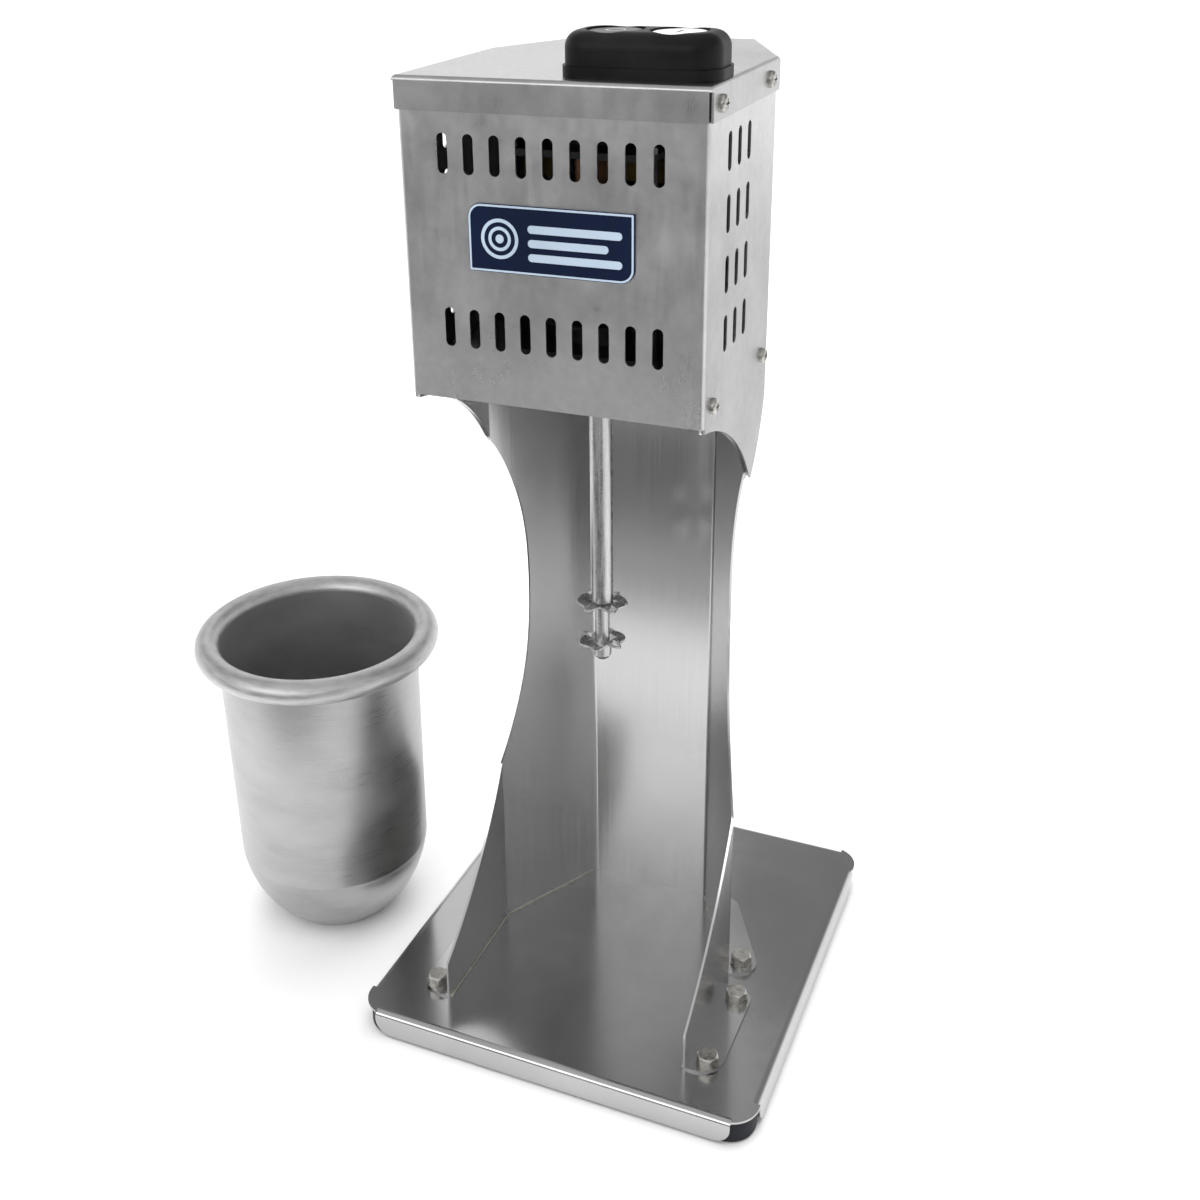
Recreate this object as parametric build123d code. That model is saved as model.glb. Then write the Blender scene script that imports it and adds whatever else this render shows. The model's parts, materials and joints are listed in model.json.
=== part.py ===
from build123d import *
import math
import os

# Single-spindle milkshake mixer. Every length is in millimetres.
# Origin: centre of the base's footprint, on the surface that it stands on.
# +Z is up, the open front faces -Y, and +X is the right-hand side seen from the front.

# Driving dimensions: overall
TOTAL_HEIGHT = 500.0
SHEET = 1.2                 # base and column sheet
THIN_SHEET = 1.0            # head sheet
FIT_GAP = 0.3               # clearance between loose neighbours

# Base
BASE_WIDTH = 218.0
BASE_DEPTH = 232.0
BASE_TOP = 16.0
FLANGE_BOTTOM = 2.0
BASE_CORNER_R = 15.0
BASE_BEND_R = 4.0
FLANGE_END_R = 9.0
FRONT_FLANGE_INSET = 10.5   # from the plate's corner to the end of the front and rear flanges
SIDE_FLANGE_INSET = 17.0    # and of the side flanges
FOOT_R = 14.0
FOOT_INSET = 15.6
FOOT_EDGE = 2.5
FOOT_RECESS_R = 5.0
BOLT_R = 3.0
BOLT_HOLE_R = 3.2
BOLT_FLATS = 10.0
BOLT_LENGTH = 10.0
NUT_HEIGHT = 4.8
WASHER_R = 6.0
WASHER_THICKNESS = 1.2

# Column, in plan: wings beside the cup bay, chamfers, then the back
COLUMN_HALF_WIDTH = 67.3
COLUMN_FRONT_Y = -91.5
COLUMN_FOLD_Y = -17.5
COLUMN_BACK_HALF_WIDTH = 34.8
COLUMN_BACK_Y = 42.5
COLUMN_TOP = 374.0
COLUMN_FOLD_R = 3.4
TOE_TOP = 38.0              # height of the short upright edge at each toe
LOWER_FOLD_Z = 119.0        # where the cut edge crosses the fold, going up
UPPER_FOLD_Z = 314.0
TOE_MID = (-51.5, 71.5)     # a point on the toe's slope, as (y, z)
BROW_FRONT = (-87.5, 358.0) # the upper cut edge, from the head's front corner back to the fold
BROW_MID = (-39.5, 337.5)
# the hollow at the waist: depth into the chamfer, and height
WAIST = (
    (0, LOWER_FOLD_Z),
    (11.5, 147.0),
    (20.3, 181.5),
    (23.4, 226.0),
    (19.8, 268.0),
    (11.3, 294.0),
    (0, UPPER_FOLD_Z),
)
TAB_WIDTH = 17.0
TAB_FRONT_R = 13.0
TAB_REAR_R = 9.0
CHAMFER_TAB_R = 8.3
TAB_BOLT_OFFSET = 9.5
FRONT_BOLT_SETBACK = 7.5
MIDDLE_BOLT_SETBACK = 17.0
CHAMFER_BOLT_PLACE = (8.0, -8.5)

# Head
HEAD_HALF_WIDTH = 68.5
HEAD_FRONT_Y = -87.5
HEAD_SIDE_REAR_Y = 5.4
HEAD_BACK_HALF_WIDTH = 40.4
HEAD_BACK_Y = 65.7
HEAD_BOTTOM = 360.0
HEAD_TOP = 498.5
SKIRT_TOP = 346.0
SKIRT_BOTTOM = 310.0
LID_OVERLAP = 1.3
LID_FLANGE_BOTTOM = 486.0
LID_BEND_R = 2.0
SLOT_WIDTH = 4.8
FRONT_SLOTS = 9
FRONT_SLOT_PITCH = 12.0
FRONT_SLOT_ROWS = ((468.6, 17.0), (393.3, 17.6))    # height of the row, and of its slots
SIDE_SLOT_PITCH = 13.5
SIDE_SLOT_HEIGHT = 16.0
SIDE_SLOT_Y = -47.0
SIDE_SLOT_ROWS = (471.0, 445.5, 420.0, 394.5)
SIDE_SCREW_R = 2.0
SIDE_SCREW_FRONT = (-76.0, 367.3)
SIDE_SCREW_REAR = (-3.0, 367.3)
LID_SCREW_YS = (-77.0, -9.0)
LID_SCREW_Z = 492.3
SCREW_CLEARANCE = 0.1
EAR_TIP_Y = -13.5
EAR_MID = (-2.5, 325.5)
REAR_SEAM_Y = -9.0          # front edges of the rear panel, inside the sides
BADGE_X = (-36.7, 38.0)
BADGE_Z = (420.0, 449.0)
BADGE_PROUD = 1.0
BADGE_CORNER_R = 6.0
RATING_X = (-38.0, -4.0)
RATING_Z = (364.0, 388.0)
GLAND_X = 24.0
GLAND_Z = 372.0
GLAND_BORE_R = 3.8
GLAND_THREAD_R = 6.0
GLAND_FLATS = 16.0

# Spindle and motor, all on one upright axis
SPINDLE_Y = -31.5
SHAFT_R = 4.0
RUNNING_FIT = 0.03
AGITATOR_SHAFT_R = 5.5
AGITATOR_SHAFT_BOTTOM = 240.6
UPPER_DISC_Z = 239.0
LOWER_DISC_Z = 217.5
DISC_THICKNESS = 1.6
TIP_Z = 208.0
CLAMP_SCREW_R = 2.5
SHAFT_JOIN_Z = 358.5        # where the motor shaft and agitator shaft meet inside the coupling
COUPLING_Z = (346.0, 370.0)
COUPLING_R = 9.0
SET_SCREW_R = 2.0
MOTOR_SHAFT_TOP = 474.5
MOTOR_PLATE_Z = COLUMN_TOP
MOTOR_PLATE_THICKNESS = 1.5
STATOR_BOTTOM = 404.0
STATOR_TOP = 440.0
STATOR_WIDTH = 72.0
STATOR_DEPTH = 58.0
BORE_R = 20.2
MOTOR_BOLT_X = 32.0
MOTOR_BOLT_Y = 24.0
MOTOR_BOLT_R = 2.0
UPPER_BRACKET_Z = 464.0
BEARING_R = 11.0
BEARING_WIDTH = 7.0
LOWER_BEARING_Z = 378.5
UPPER_BEARING_Z = 467.5
ARMATURE_R = 19.5
ARMATURE_SLOTS = 12
WINDING_R = 16.5
FAN_R = 28.0
FAN_BLADES = 9
FAN_Z = (388.5, 396.5)
COMMUTATOR_R = 11.0
COMMUTATOR_Z = (449.0, 461.0)

# Switch on the lid
SWITCH_X = 35.0
SWITCH_Y = -66.0
SWITCH_LENGTH = 66.0
SWITCH_DEPTH = 32.0
SWITCH_TOP = 518.0
SWITCH_SEAM_Z = 504.6       # top of the gasket, bottom of the boot
SWITCH_CORNER_R = 12.0
BOOT_TOP_R = 6.5
BUTTON_PITCH = 27.0
BUTTON_R = 11.5
BUTTON_CAP_Z = (513.2, 517.4)
STEM_R = 3.2
STEM_BOTTOM = 502.5
SPRING_COIL_R = 2.6
SPRING_WIRE_R = 0.35
SPRING_HEIGHT = 7.4
SPRING_TURNS = 5

# Cup, standing beside the base
CUP_X = -178.4
CUP_Y = -20.0
CUP_HEIGHT = 185.2
CUP_WALL = 1.5
CUP_BEAD_R = 6.8
CUP_TOP_R = 56.3
CUP_SHOULDER = (54.8, 44.8) # the crease under the wall, as (radius, z)
CUP_TURN_IN = (47.0, 20.2)
CUP_BOTTOM_R = 31.0

ACROSS = 80.0               # half-length of cutters that pass right across the head or column

SIDES = (-1, 1)


def save(name, shape):
    """Write one sub-part as its own STEP file."""
    solids = shape if isinstance(shape, list) else [shape]
    whole = Compound(children=solids) if len(solids) > 1 else solids[0]
    export_step(whole, f"parts/{name}.step")


def block(x_span, y_span, z_span):
    """A box given by its low and high limits on each axis."""
    spans = (x_span, y_span, z_span)
    centre = [(low + high) / 2 for low, high in spans]
    size = [high - low for low, high in spans]
    return Pos(*centre) * Box(*size)


def post(x, y, radius, z_low, z_high):
    """An upright cylinder."""
    return Pos(x, y, (z_low + z_high) / 2) * Cylinder(radius, z_high - z_low)


def prism(outline, z_low, z_high):
    """An upright prism on a closed plan outline."""
    return Pos(0, 0, z_low) * extrude(make_face(Polyline(*outline, close=True)), z_high - z_low)


def mirrored_plan(right_points):
    """Close a plan outline from its right-hand half, listed front to back."""
    return right_points + [(-x, y) for x, y in reversed(right_points)]


def cross_pin(x, y, z, radius, length):
    """A cylinder along X, centred on a point."""
    return Pos(x, y, z) * Rot(0, 90, 0) * Cylinder(radius, length)


def upright_edges(shape):
    """The edges that run along Z."""
    return shape.edges().filter_by(Axis.Z)


def plan_inset(outline, amount):
    """The same plan outline, moved inwards by amount."""
    face = make_face(Polyline(*outline, close=True))
    return offset(face, -amount, kind=Kind.INTERSECTION)


def slot_cutter(width, height, depth):
    """An upright slot with round ends, cutting along Y."""
    profile = Plane.XZ * SlotOverall(height, width, rotation=90)
    return extrude(profile, depth / 2, both=True)


def hex_bolt(head_flats, head_height, shank_r, shank_length):
    """A hex-head bolt, head up, with the underside of its head at Z = 0."""
    head = extrude(RegularPolygon(head_flats / 2, 6, major_radius=False), head_height)
    crown = Pos(0, 0, head_height / 2) * Cylinder(head_flats * 0.56, head_height)
    crown = chamfer(crown.edges().group_by(Axis.Z)[-1], head_height * 0.2)
    shank = post(0, 0, shank_r, -shank_length, 0)
    return (head & crown) + shank


def pan_screw(head_r, head_height, shank_r, shank_length):
    """A cross-recessed pan-head screw pointing along -Z, seat at Z = 0."""
    head = post(0, 0, head_r, 0, head_height)
    head = fillet(head.edges().group_by(Axis.Z)[-1], head_height * 0.7)
    recess_depth = head_height * 0.55
    arm = head_r * 1.1
    for turn in (0, 90):
        cross = Box(arm, head_r * 0.24, recess_depth * 2)
        head -= Pos(0, 0, head_height) * Rot(0, 0, turn) * cross
    return head + post(0, 0, shank_r, -shank_length, 0)


# ---------------------------------------------------------------- plans

COLUMN_PLAN = mirrored_plan([
    (COLUMN_HALF_WIDTH, COLUMN_FRONT_Y),
    (COLUMN_HALF_WIDTH, COLUMN_FOLD_Y),
    (COLUMN_BACK_HALF_WIDTH, COLUMN_BACK_Y),
])
CHAMFER_RUN = COLUMN_HALF_WIDTH - COLUMN_BACK_HALF_WIDTH
CHAMFER_RISE = COLUMN_BACK_Y - COLUMN_FOLD_Y
CHAMFER_LENGTH = math.hypot(CHAMFER_RUN, CHAMFER_RISE)


def chamfer_frame(side):
    """A frame at the wing's fold: local X runs back along the chamfer, local Y points outwards."""
    along = Vector(-side * CHAMFER_RUN, CHAMFER_RISE, 0).normalized()
    return Plane(origin=(side * COLUMN_HALF_WIDTH, COLUMN_FOLD_Y, 0), x_dir=along, z_dir=(0, 0, side))


def tab_bolt_places():
    """Plan positions of the bolts that hold the column's tabs to the base, right and left."""
    places = []
    for side in SIDES:
        wing_x = side * (COLUMN_HALF_WIDTH + TAB_BOLT_OFFSET)
        places.append((wing_x, COLUMN_FRONT_Y + FRONT_BOLT_SETBACK))
        places.append((wing_x, COLUMN_FOLD_Y - MIDDLE_BOLT_SETBACK))
        corner = chamfer_frame(side).from_local_coords(Vector(*CHAMFER_BOLT_PLACE, 0))
        places.append((corner.X, corner.Y))
    return places


# ---------------------------------------------------------------- base

def base_flange(length, reach):
    """One downturned edge of the base, along X, facing -Y at distance reach from the centre."""
    half = length / 2
    skin = block((-half, half), (-reach, -reach + BASE_BEND_R), (FLANGE_BOTTOM, BASE_TOP))
    outer_edge = skin.edges().filter_by(Axis.X).group_by(Axis.Z)[-1].sort_by(Axis.Y)[0]
    skin = fillet(outer_edge, BASE_BEND_R - 0.01)
    hollow = block((-half, half), (-reach + SHEET, -reach + 2 * BASE_BEND_R), (0, BASE_TOP - SHEET))
    inner_edge = hollow.edges().filter_by(Axis.X).group_by(Axis.Z)[-1].sort_by(Axis.Y)[0]
    skin -= fillet(inner_edge, BASE_BEND_R - SHEET)
    elevation = block((-half, half), (-reach - 1, -reach + 2 * BASE_BEND_R), (FLANGE_BOTTOM, BASE_TOP + 1))
    lower_corners = elevation.edges().filter_by(Axis.Y).group_by(Axis.Z)[0]
    return skin & fillet(lower_corners, FLANGE_END_R)


def make_base_plate():
    half_x = BASE_WIDTH / 2
    half_y = BASE_DEPTH / 2
    plate = block((-half_x, half_x), (-half_y, half_y), (BASE_TOP - SHEET, BASE_TOP))
    plate = fillet(upright_edges(plate), BASE_CORNER_R)
    front_length = BASE_WIDTH - 2 * FRONT_FLANGE_INSET
    side_length = BASE_DEPTH - 2 * SIDE_FLANGE_INSET
    for turn, length, reach in ((0, front_length, half_y), (90, side_length, half_x)):
        for flip in (0, 180):
            turned = Rot(0, 0, turn + flip)
            strip = block(
                (-length / 2, length / 2),
                (-reach - 1, -reach + BASE_BEND_R),
                (BASE_TOP - SHEET - 1, BASE_TOP + 1),
            )
            plate -= turned * strip
            plate += turned * base_flange(length, reach)
    for x, y in tab_bolt_places():
        plate -= post(x, y, BOLT_HOLE_R, 0, BASE_TOP + 1)
    return plate


def make_foot(side_x, side_y):
    x = side_x * (BASE_WIDTH / 2 - FOOT_INSET)
    y = side_y * (BASE_DEPTH / 2 - FOOT_INSET)
    foot = post(x, y, FOOT_R, 0, BASE_TOP - SHEET)
    foot = fillet(foot.edges().group_by(Axis.Z)[0], FOOT_EDGE)
    foot = chamfer(foot.edges().group_by(Axis.Z)[-1], FOOT_EDGE)
    return foot - post(x, y, FOOT_RECESS_R, -1, 2 * FOOT_EDGE)


# ---------------------------------------------------------------- column

def brow_edge():
    """The column's upper cut edge on the wing, from the head's front corner back to the fold."""
    return ThreePointArc((0, *BROW_FRONT), (0, *BROW_MID), (0, COLUMN_FOLD_Y, UPPER_FOLD_Z))


def wing_cut(side):
    """Everything in front of the wing's cut edge: toe slope, open middle, and the curve up to the head."""
    fold = COLUMN_FOLD_Y
    front = COLUMN_FRONT_Y
    clear_y = front - 5
    slope = ThreePointArc((0, front, TOE_TOP), (0, *TOE_MID), (0, fold, LOWER_FOLD_Z))
    middle = Line((0, fold, LOWER_FOLD_Z), (0, fold, UPPER_FOLD_Z))
    over = Polyline(
        (0, *BROW_FRONT),
        (0, clear_y, BROW_FRONT[1]),
        (0, clear_y, TOE_TOP),
        (0, front, TOE_TOP),
    )
    face = make_face(Wire([slope, middle, brow_edge()] + list(over.edges())))
    start = COLUMN_HALF_WIDTH - 5
    return Pos(side * start, 0, 0) * extrude(face, 10, dir=(side, 0, 0))


def chamfer_cut(side):
    """The hollow that the cut edge takes out of the chamfer, between the two crossings of the fold."""
    plane = chamfer_frame(side)
    along = plane.x_dir
    base = plane.origin
    curve = Spline(*[base + along * depth + Vector(0, 0, z) for depth, z in WAIST])
    back = base - along * 4
    closing = Polyline(
        base + Vector(0, 0, UPPER_FOLD_Z),
        back + Vector(0, 0, UPPER_FOLD_Z),
        back + Vector(0, 0, LOWER_FOLD_Z),
        base + Vector(0, 0, LOWER_FOLD_Z),
    )
    face = make_face(Wire([curve] + list(closing.edges())))
    normal = Vector(side * CHAMFER_RISE, CHAMFER_RUN, 0).normalized()
    return extrude(face, 6, dir=normal, both=True)


def wing_tab():
    """The right wing's foot, bent outwards flat on the base."""
    tab = block(
        (COLUMN_HALF_WIDTH - SHEET, COLUMN_HALF_WIDTH + TAB_WIDTH),
        (COLUMN_FRONT_Y, COLUMN_FOLD_Y - 8.0),
        (BASE_TOP, BASE_TOP + SHEET),
    )
    front_corner = upright_edges(tab).group_by(Axis.X)[-1].sort_by(Axis.Y)[0]
    tab = fillet(front_corner, TAB_FRONT_R)
    rear_corner = upright_edges(tab).group_by(Axis.X)[-1].sort_by(Axis.Y)[-1]
    return fillet(rear_corner, TAB_REAR_R)


def chamfer_tab():
    """The right chamfer's foot, bent outwards flat on the base."""
    tab = block((0, CHAMFER_LENGTH - 4), (-TAB_WIDTH, SHEET), (BASE_TOP, BASE_TOP + SHEET))
    outer_corners = upright_edges(tab).group_by(Axis.Y)[0]
    return chamfer_frame(1).location * fillet(outer_corners, CHAMFER_TAB_R)


def make_column():
    outer = prism(COLUMN_PLAN, BASE_TOP, COLUMN_TOP)
    folds = upright_edges(outer).filter_by(lambda edge: edge.center().Y > COLUMN_FRONT_Y + 1)
    sheet = fillet(folds, COLUMN_FOLD_R)
    inner_plan = plan_inset(mirrored_plan([
        (COLUMN_HALF_WIDTH, COLUMN_FRONT_Y - 20),
        (COLUMN_HALF_WIDTH, COLUMN_FOLD_Y),
        (COLUMN_BACK_HALF_WIDTH, COLUMN_BACK_Y),
    ]), SHEET)
    inner = Pos(0, 0, BASE_TOP - 1) * extrude(inner_plan, COLUMN_TOP)
    inner_folds = upright_edges(inner).filter_by(lambda edge: edge.center().Y > COLUMN_FRONT_Y)
    sheet -= fillet(inner_folds, COLUMN_FOLD_R - SHEET)
    for side in SIDES:
        sheet -= wing_cut(side)
        sheet -= chamfer_cut(side)
    # inside the head the wings stop behind the front panel
    wing_front = HEAD_FRONT_Y + THIN_SHEET + 0.5
    sheet -= block((-ACROSS, ACROSS), (COLUMN_FRONT_Y - 5, wing_front), (BROW_FRONT[1] - 0.1, COLUMN_TOP + 1))
    right_tabs = wing_tab() + chamfer_tab()
    sheet += right_tabs
    sheet += mirror(right_tabs, about=Plane.YZ)
    for x, y in tab_bolt_places():
        sheet -= post(x, y, BOLT_HOLE_R, 0, BASE_TOP + 5)
    for place in side_screw_places()[0::2]:
        sheet -= cross_pin(*place, SIDE_SCREW_R + SCREW_CLEARANCE, 8)
    return sheet


def make_column_bolts():
    seat_z = BASE_TOP + SHEET + WASHER_THICKNESS
    bolt = hex_bolt(BOLT_FLATS, 5.0, BOLT_R, BOLT_LENGTH)
    return [Pos(x, y, seat_z) * bolt for x, y in tab_bolt_places()]


def make_column_nuts():
    return make_nuts(tab_bolt_places(), BOLT_FLATS, NUT_HEIGHT, BOLT_R, BASE_TOP - SHEET - NUT_HEIGHT)


def make_column_washers():
    z_low = BASE_TOP + SHEET
    washer = post(0, 0, WASHER_R, z_low, z_low + WASHER_THICKNESS) - post(0, 0, BOLT_R + 0.1, 0, 30)
    return [Pos(x, y, 0) * washer for x, y in tab_bolt_places()]


# ---------------------------------------------------------------- head

def head_side_blank(x_low, x_high):
    """One side of the head cover: a panel that tapers down to an ear over the column."""
    brow = brow_edge()
    start = brow @ 0
    rear = ThreePointArc((0, EAR_TIP_Y, SKIRT_BOTTOM), (0, *EAR_MID), (0, HEAD_SIDE_REAR_Y, SKIRT_TOP))
    rest = Polyline(
        rear @ 1,
        (0, HEAD_SIDE_REAR_Y, HEAD_TOP),
        (0, HEAD_FRONT_Y, HEAD_TOP),
        start,
    )
    tip = Line(brow @ 1, rear @ 0)
    face = make_face(Wire([brow, tip, rear] + list(rest.edges())))
    return Pos(x_low, 0, 0) * extrude(face, x_high - x_low, dir=(1, 0, 0))


def make_head_cover():
    """Front and both sides, folded from one sheet."""
    low_z = SKIRT_BOTTOM - 10
    blank = block((-HEAD_HALF_WIDTH, HEAD_HALF_WIDTH), (HEAD_FRONT_Y, HEAD_SIDE_REAR_Y), (low_z, HEAD_TOP))
    cover = fillet(upright_edges(blank).group_by(Axis.Y)[0], LID_BEND_R)
    inner_x = HEAD_HALF_WIDTH - THIN_SHEET
    inner = block(
        (-inner_x, inner_x),
        (HEAD_FRONT_Y + THIN_SHEET, HEAD_SIDE_REAR_Y + 5),
        (low_z - 1, HEAD_TOP + 1),
    )
    cover -= fillet(upright_edges(inner).group_by(Axis.Y)[0], LID_BEND_R - THIN_SHEET)
    front_depth = (HEAD_FRONT_Y - 1, HEAD_FRONT_Y + LID_BEND_R)
    cover -= block((-ACROSS, ACROSS), front_depth, (low_z - 1, HEAD_BOTTOM))
    sides = head_side_blank(-ACROSS, ACROSS)
    cover &= sides + block((-ACROSS, ACROSS), front_depth, (HEAD_BOTTOM - 1, HEAD_TOP + 1))
    for row_z, height in FRONT_SLOT_ROWS:
        for column in range(FRONT_SLOTS):
            x = (column - (FRONT_SLOTS - 1) / 2) * FRONT_SLOT_PITCH
            cover -= Pos(x, HEAD_FRONT_Y, row_z) * slot_cutter(SLOT_WIDTH, height, 8)
    side_slot = Rot(0, 0, 90) * slot_cutter(SLOT_WIDTH, SIDE_SLOT_HEIGHT, 8)
    for side in SIDES:
        for row_z in SIDE_SLOT_ROWS:
            for column in (-1, 0, 1):
                y = SIDE_SLOT_Y + column * SIDE_SLOT_PITCH
                cover -= Pos(side * HEAD_HALF_WIDTH, y, row_z) * side_slot
    for place in side_screw_places() + lid_screw_places():
        cover -= cross_pin(*place, SIDE_SCREW_R + 2 * SCREW_CLEARANCE, 8)
    return cover


def side_screw_places():
    """Screws low on the head's sides: the front pair into the column, the rear pair into the back."""
    return [(side * HEAD_HALF_WIDTH, y, z) for side in SIDES for y, z in (SIDE_SCREW_FRONT, SIDE_SCREW_REAR)]


def lid_screw_places():
    """Screws through the lid's side flanges."""
    lid_x = HEAD_HALF_WIDTH + LID_OVERLAP
    return [(side * lid_x, y, LID_SCREW_Z) for side in SIDES for y in LID_SCREW_YS]


def make_side_screws(places, length):
    screws = []
    for x, y, z in places:
        outward = 90 if x > 0 else -90
        screws.append(Pos(x, y, z) * Rot(0, outward, 0) * pan_screw(3.6, 2.4, SIDE_SCREW_R, length))
    return screws


HEAD_REAR_PLAN = mirrored_plan([
    (HEAD_HALF_WIDTH - THIN_SHEET - 0.1, REAR_SEAM_Y),
    (HEAD_HALF_WIDTH - THIN_SHEET - 0.1, HEAD_SIDE_REAR_Y),
    (HEAD_BACK_HALF_WIDTH, HEAD_BACK_Y),
])
SKIRT_PLAN = mirrored_plan([
    (COLUMN_HALF_WIDTH, -40.0),
    (COLUMN_HALF_WIDTH + 0.1, COLUMN_FOLD_Y + 1.0),
    (COLUMN_BACK_HALF_WIDTH + 0.8, COLUMN_BACK_Y + 1.4),
])


def skirt_solid(inset):
    """The sloping skirt between the head's plan and the column's plan, as a full solid."""
    upper = Pos(0, 0, SKIRT_TOP) * plan_inset(mirrored_plan([
        (HEAD_HALF_WIDTH - THIN_SHEET - 0.1, -40.0),
        (HEAD_HALF_WIDTH - THIN_SHEET - 0.1, HEAD_SIDE_REAR_Y),
        (HEAD_BACK_HALF_WIDTH, HEAD_BACK_Y),
    ]), inset)
    lower = Pos(0, 0, SKIRT_BOTTOM) * plan_inset(SKIRT_PLAN, inset)
    return loft([lower.face(), upper.face()], ruled=True)


def make_head_rear_panel():
    """Back and chamfers of the head with a sloping skirt that closes down onto the column."""
    low_z = SKIRT_BOTTOM - 10
    outer = prism(HEAD_REAR_PLAN, SKIRT_TOP, HEAD_TOP)
    hollow = Pos(0, 0, SKIRT_TOP - 1) * extrude(plan_inset(HEAD_REAR_PLAN, THIN_SHEET), 200)
    inner_x = HEAD_HALF_WIDTH - 2.5
    upper = outer - hollow
    upper -= block((-inner_x, inner_x), (REAR_SEAM_Y - 11, REAR_SEAM_Y + 2), (low_z, HEAD_TOP + 1))
    skirt = skirt_solid(0.0) - skirt_solid(THIN_SHEET)
    skirt -= block((-ACROSS, ACROSS), (-50, COLUMN_FOLD_Y + 2.0), (low_z, SKIRT_TOP + 14))
    column = extrude(make_face(Polyline(*COLUMN_PLAN, close=True)), COLUMN_TOP + 10)
    between_sides = block((-inner_x - 0.4, inner_x + 0.4), (-30, ACROSS), (low_z, SKIRT_TOP + 14))
    skirt &= head_side_blank(-ACROSS, ACROSS) + between_sides
    panel = upper + (skirt - column)
    rear_screws = side_screw_places()[1::2] + lid_screw_places()[1::2]
    for place in rear_screws:
        panel -= cross_pin(*place, SIDE_SCREW_R + SCREW_CLEARANCE, 8)
    gland_hole = Pos(GLAND_X, HEAD_BACK_Y, GLAND_Z) * Rot(90, 0, 0) * Cylinder(GLAND_THREAD_R + 0.2, 10)
    return panel - gland_hole


def make_cable_gland():
    """Screwed cable gland on the back: hexagon, domed cap and threaded tail, bored through."""
    body = extrude(RegularPolygon(GLAND_FLATS / 2, 6, major_radius=False), 4.0)
    dome = post(0, 0, GLAND_FLATS * 0.46, 4.0, 15.0)
    dome = fillet(dome.edges().group_by(Axis.Z)[-1], 3.0)
    tail = post(0, 0, GLAND_THREAD_R, -9.0, 0)
    gland = body + dome + tail - post(0, 0, GLAND_BORE_R, -10.0, 16.0)
    return Pos(GLAND_X, HEAD_BACK_Y, GLAND_Z) * Rot(-90, 0, 0) * gland


def make_gland_nut():
    nut = extrude(RegularPolygon(GLAND_FLATS / 2, 6, major_radius=False), 3.5)
    nut -= post(0, 0, GLAND_THREAD_R, -1, 5)
    return Pos(GLAND_X, HEAD_BACK_Y - THIN_SHEET, GLAND_Z) * Rot(90, 0, 0) * nut


LID_PLAN = mirrored_plan([
    (HEAD_HALF_WIDTH + LID_OVERLAP, HEAD_FRONT_Y - LID_OVERLAP),
    (HEAD_HALF_WIDTH + LID_OVERLAP, HEAD_SIDE_REAR_Y + 0.8),
    (HEAD_BACK_HALF_WIDTH + 1.0, HEAD_BACK_Y + LID_OVERLAP),
])


def make_lid():
    """Folded lid: top sheet with a downturned flange, open at its front corners."""
    outer = prism(LID_PLAN, LID_FLANGE_BOTTOM, TOTAL_HEIGHT)
    lid = fillet(outer.edges().group_by(Axis.Z)[-1], LID_BEND_R)
    inner_height = TOTAL_HEIGHT - THIN_SHEET - (LID_FLANGE_BOTTOM - 1)
    inner = Pos(0, 0, LID_FLANGE_BOTTOM - 1) * extrude(plan_inset(LID_PLAN, THIN_SHEET), inner_height)
    lid -= fillet(inner.edges().group_by(Axis.Z)[-1], LID_BEND_R - THIN_SHEET)
    corner_x = HEAD_HALF_WIDTH + LID_OVERLAP
    corner_y = HEAD_FRONT_Y - LID_OVERLAP
    for side in SIDES:
        slit = block((-1.5, 1.5), (-1.5, 1.5), (LID_FLANGE_BOTTOM - 1, TOTAL_HEIGHT - 2.2))
        lid -= Pos(side * corner_x, corner_y, 0) * slit
    lid -= block(
        (SWITCH_X - 25, SWITCH_X + 25),
        (SWITCH_Y - 10, SWITCH_Y + 10),
        (TOTAL_HEIGHT - 5, TOTAL_HEIGHT + 1),
    )
    for place in lid_screw_places():
        lid -= cross_pin(*place, SIDE_SCREW_R + SCREW_CLEARANCE, 6)
    return lid


def make_badge():
    """Blank name plate: two opposite corners rounded."""
    badge = block(BADGE_X, (HEAD_FRONT_Y - BADGE_PROUD, HEAD_FRONT_Y), BADGE_Z)
    corners = badge.edges().filter_by(Axis.Y)
    upper_left = corners.sort_by(lambda edge: edge.center().X - edge.center().Z)[0]
    lower_right = corners.sort_by(lambda edge: edge.center().X - edge.center().Z)[-1]
    return fillet([upper_left, lower_right], BADGE_CORNER_R)


def make_rating_plate():
    plate = block(RATING_X, (HEAD_BACK_Y, HEAD_BACK_Y + 0.6), RATING_Z)
    return fillet(plate.edges().filter_by(Axis.Y), 2.0)


# ---------------------------------------------------------------- switch

def rounded_block(length, depth, z_low, z_high, radius):
    shape = block((-length / 2, length / 2), (-depth / 2, depth / 2), (z_low, z_high))
    return fillet(upright_edges(shape), radius)


def at_switch(shape):
    return Pos(SWITCH_X, SWITCH_Y, 0) * shape


def button_x(side):
    return side * BUTTON_PITCH / 2


def make_switch_gasket():
    length = SWITCH_LENGTH + 1.6
    depth = SWITCH_DEPTH + 1.6
    gasket = rounded_block(length, depth, TOTAL_HEIGHT, SWITCH_SEAM_Z, SWITCH_CORNER_R)
    return at_switch(gasket - block((-24.5, 24.5), (-9.5, 9.5), (TOTAL_HEIGHT - 1, 506)))


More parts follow.
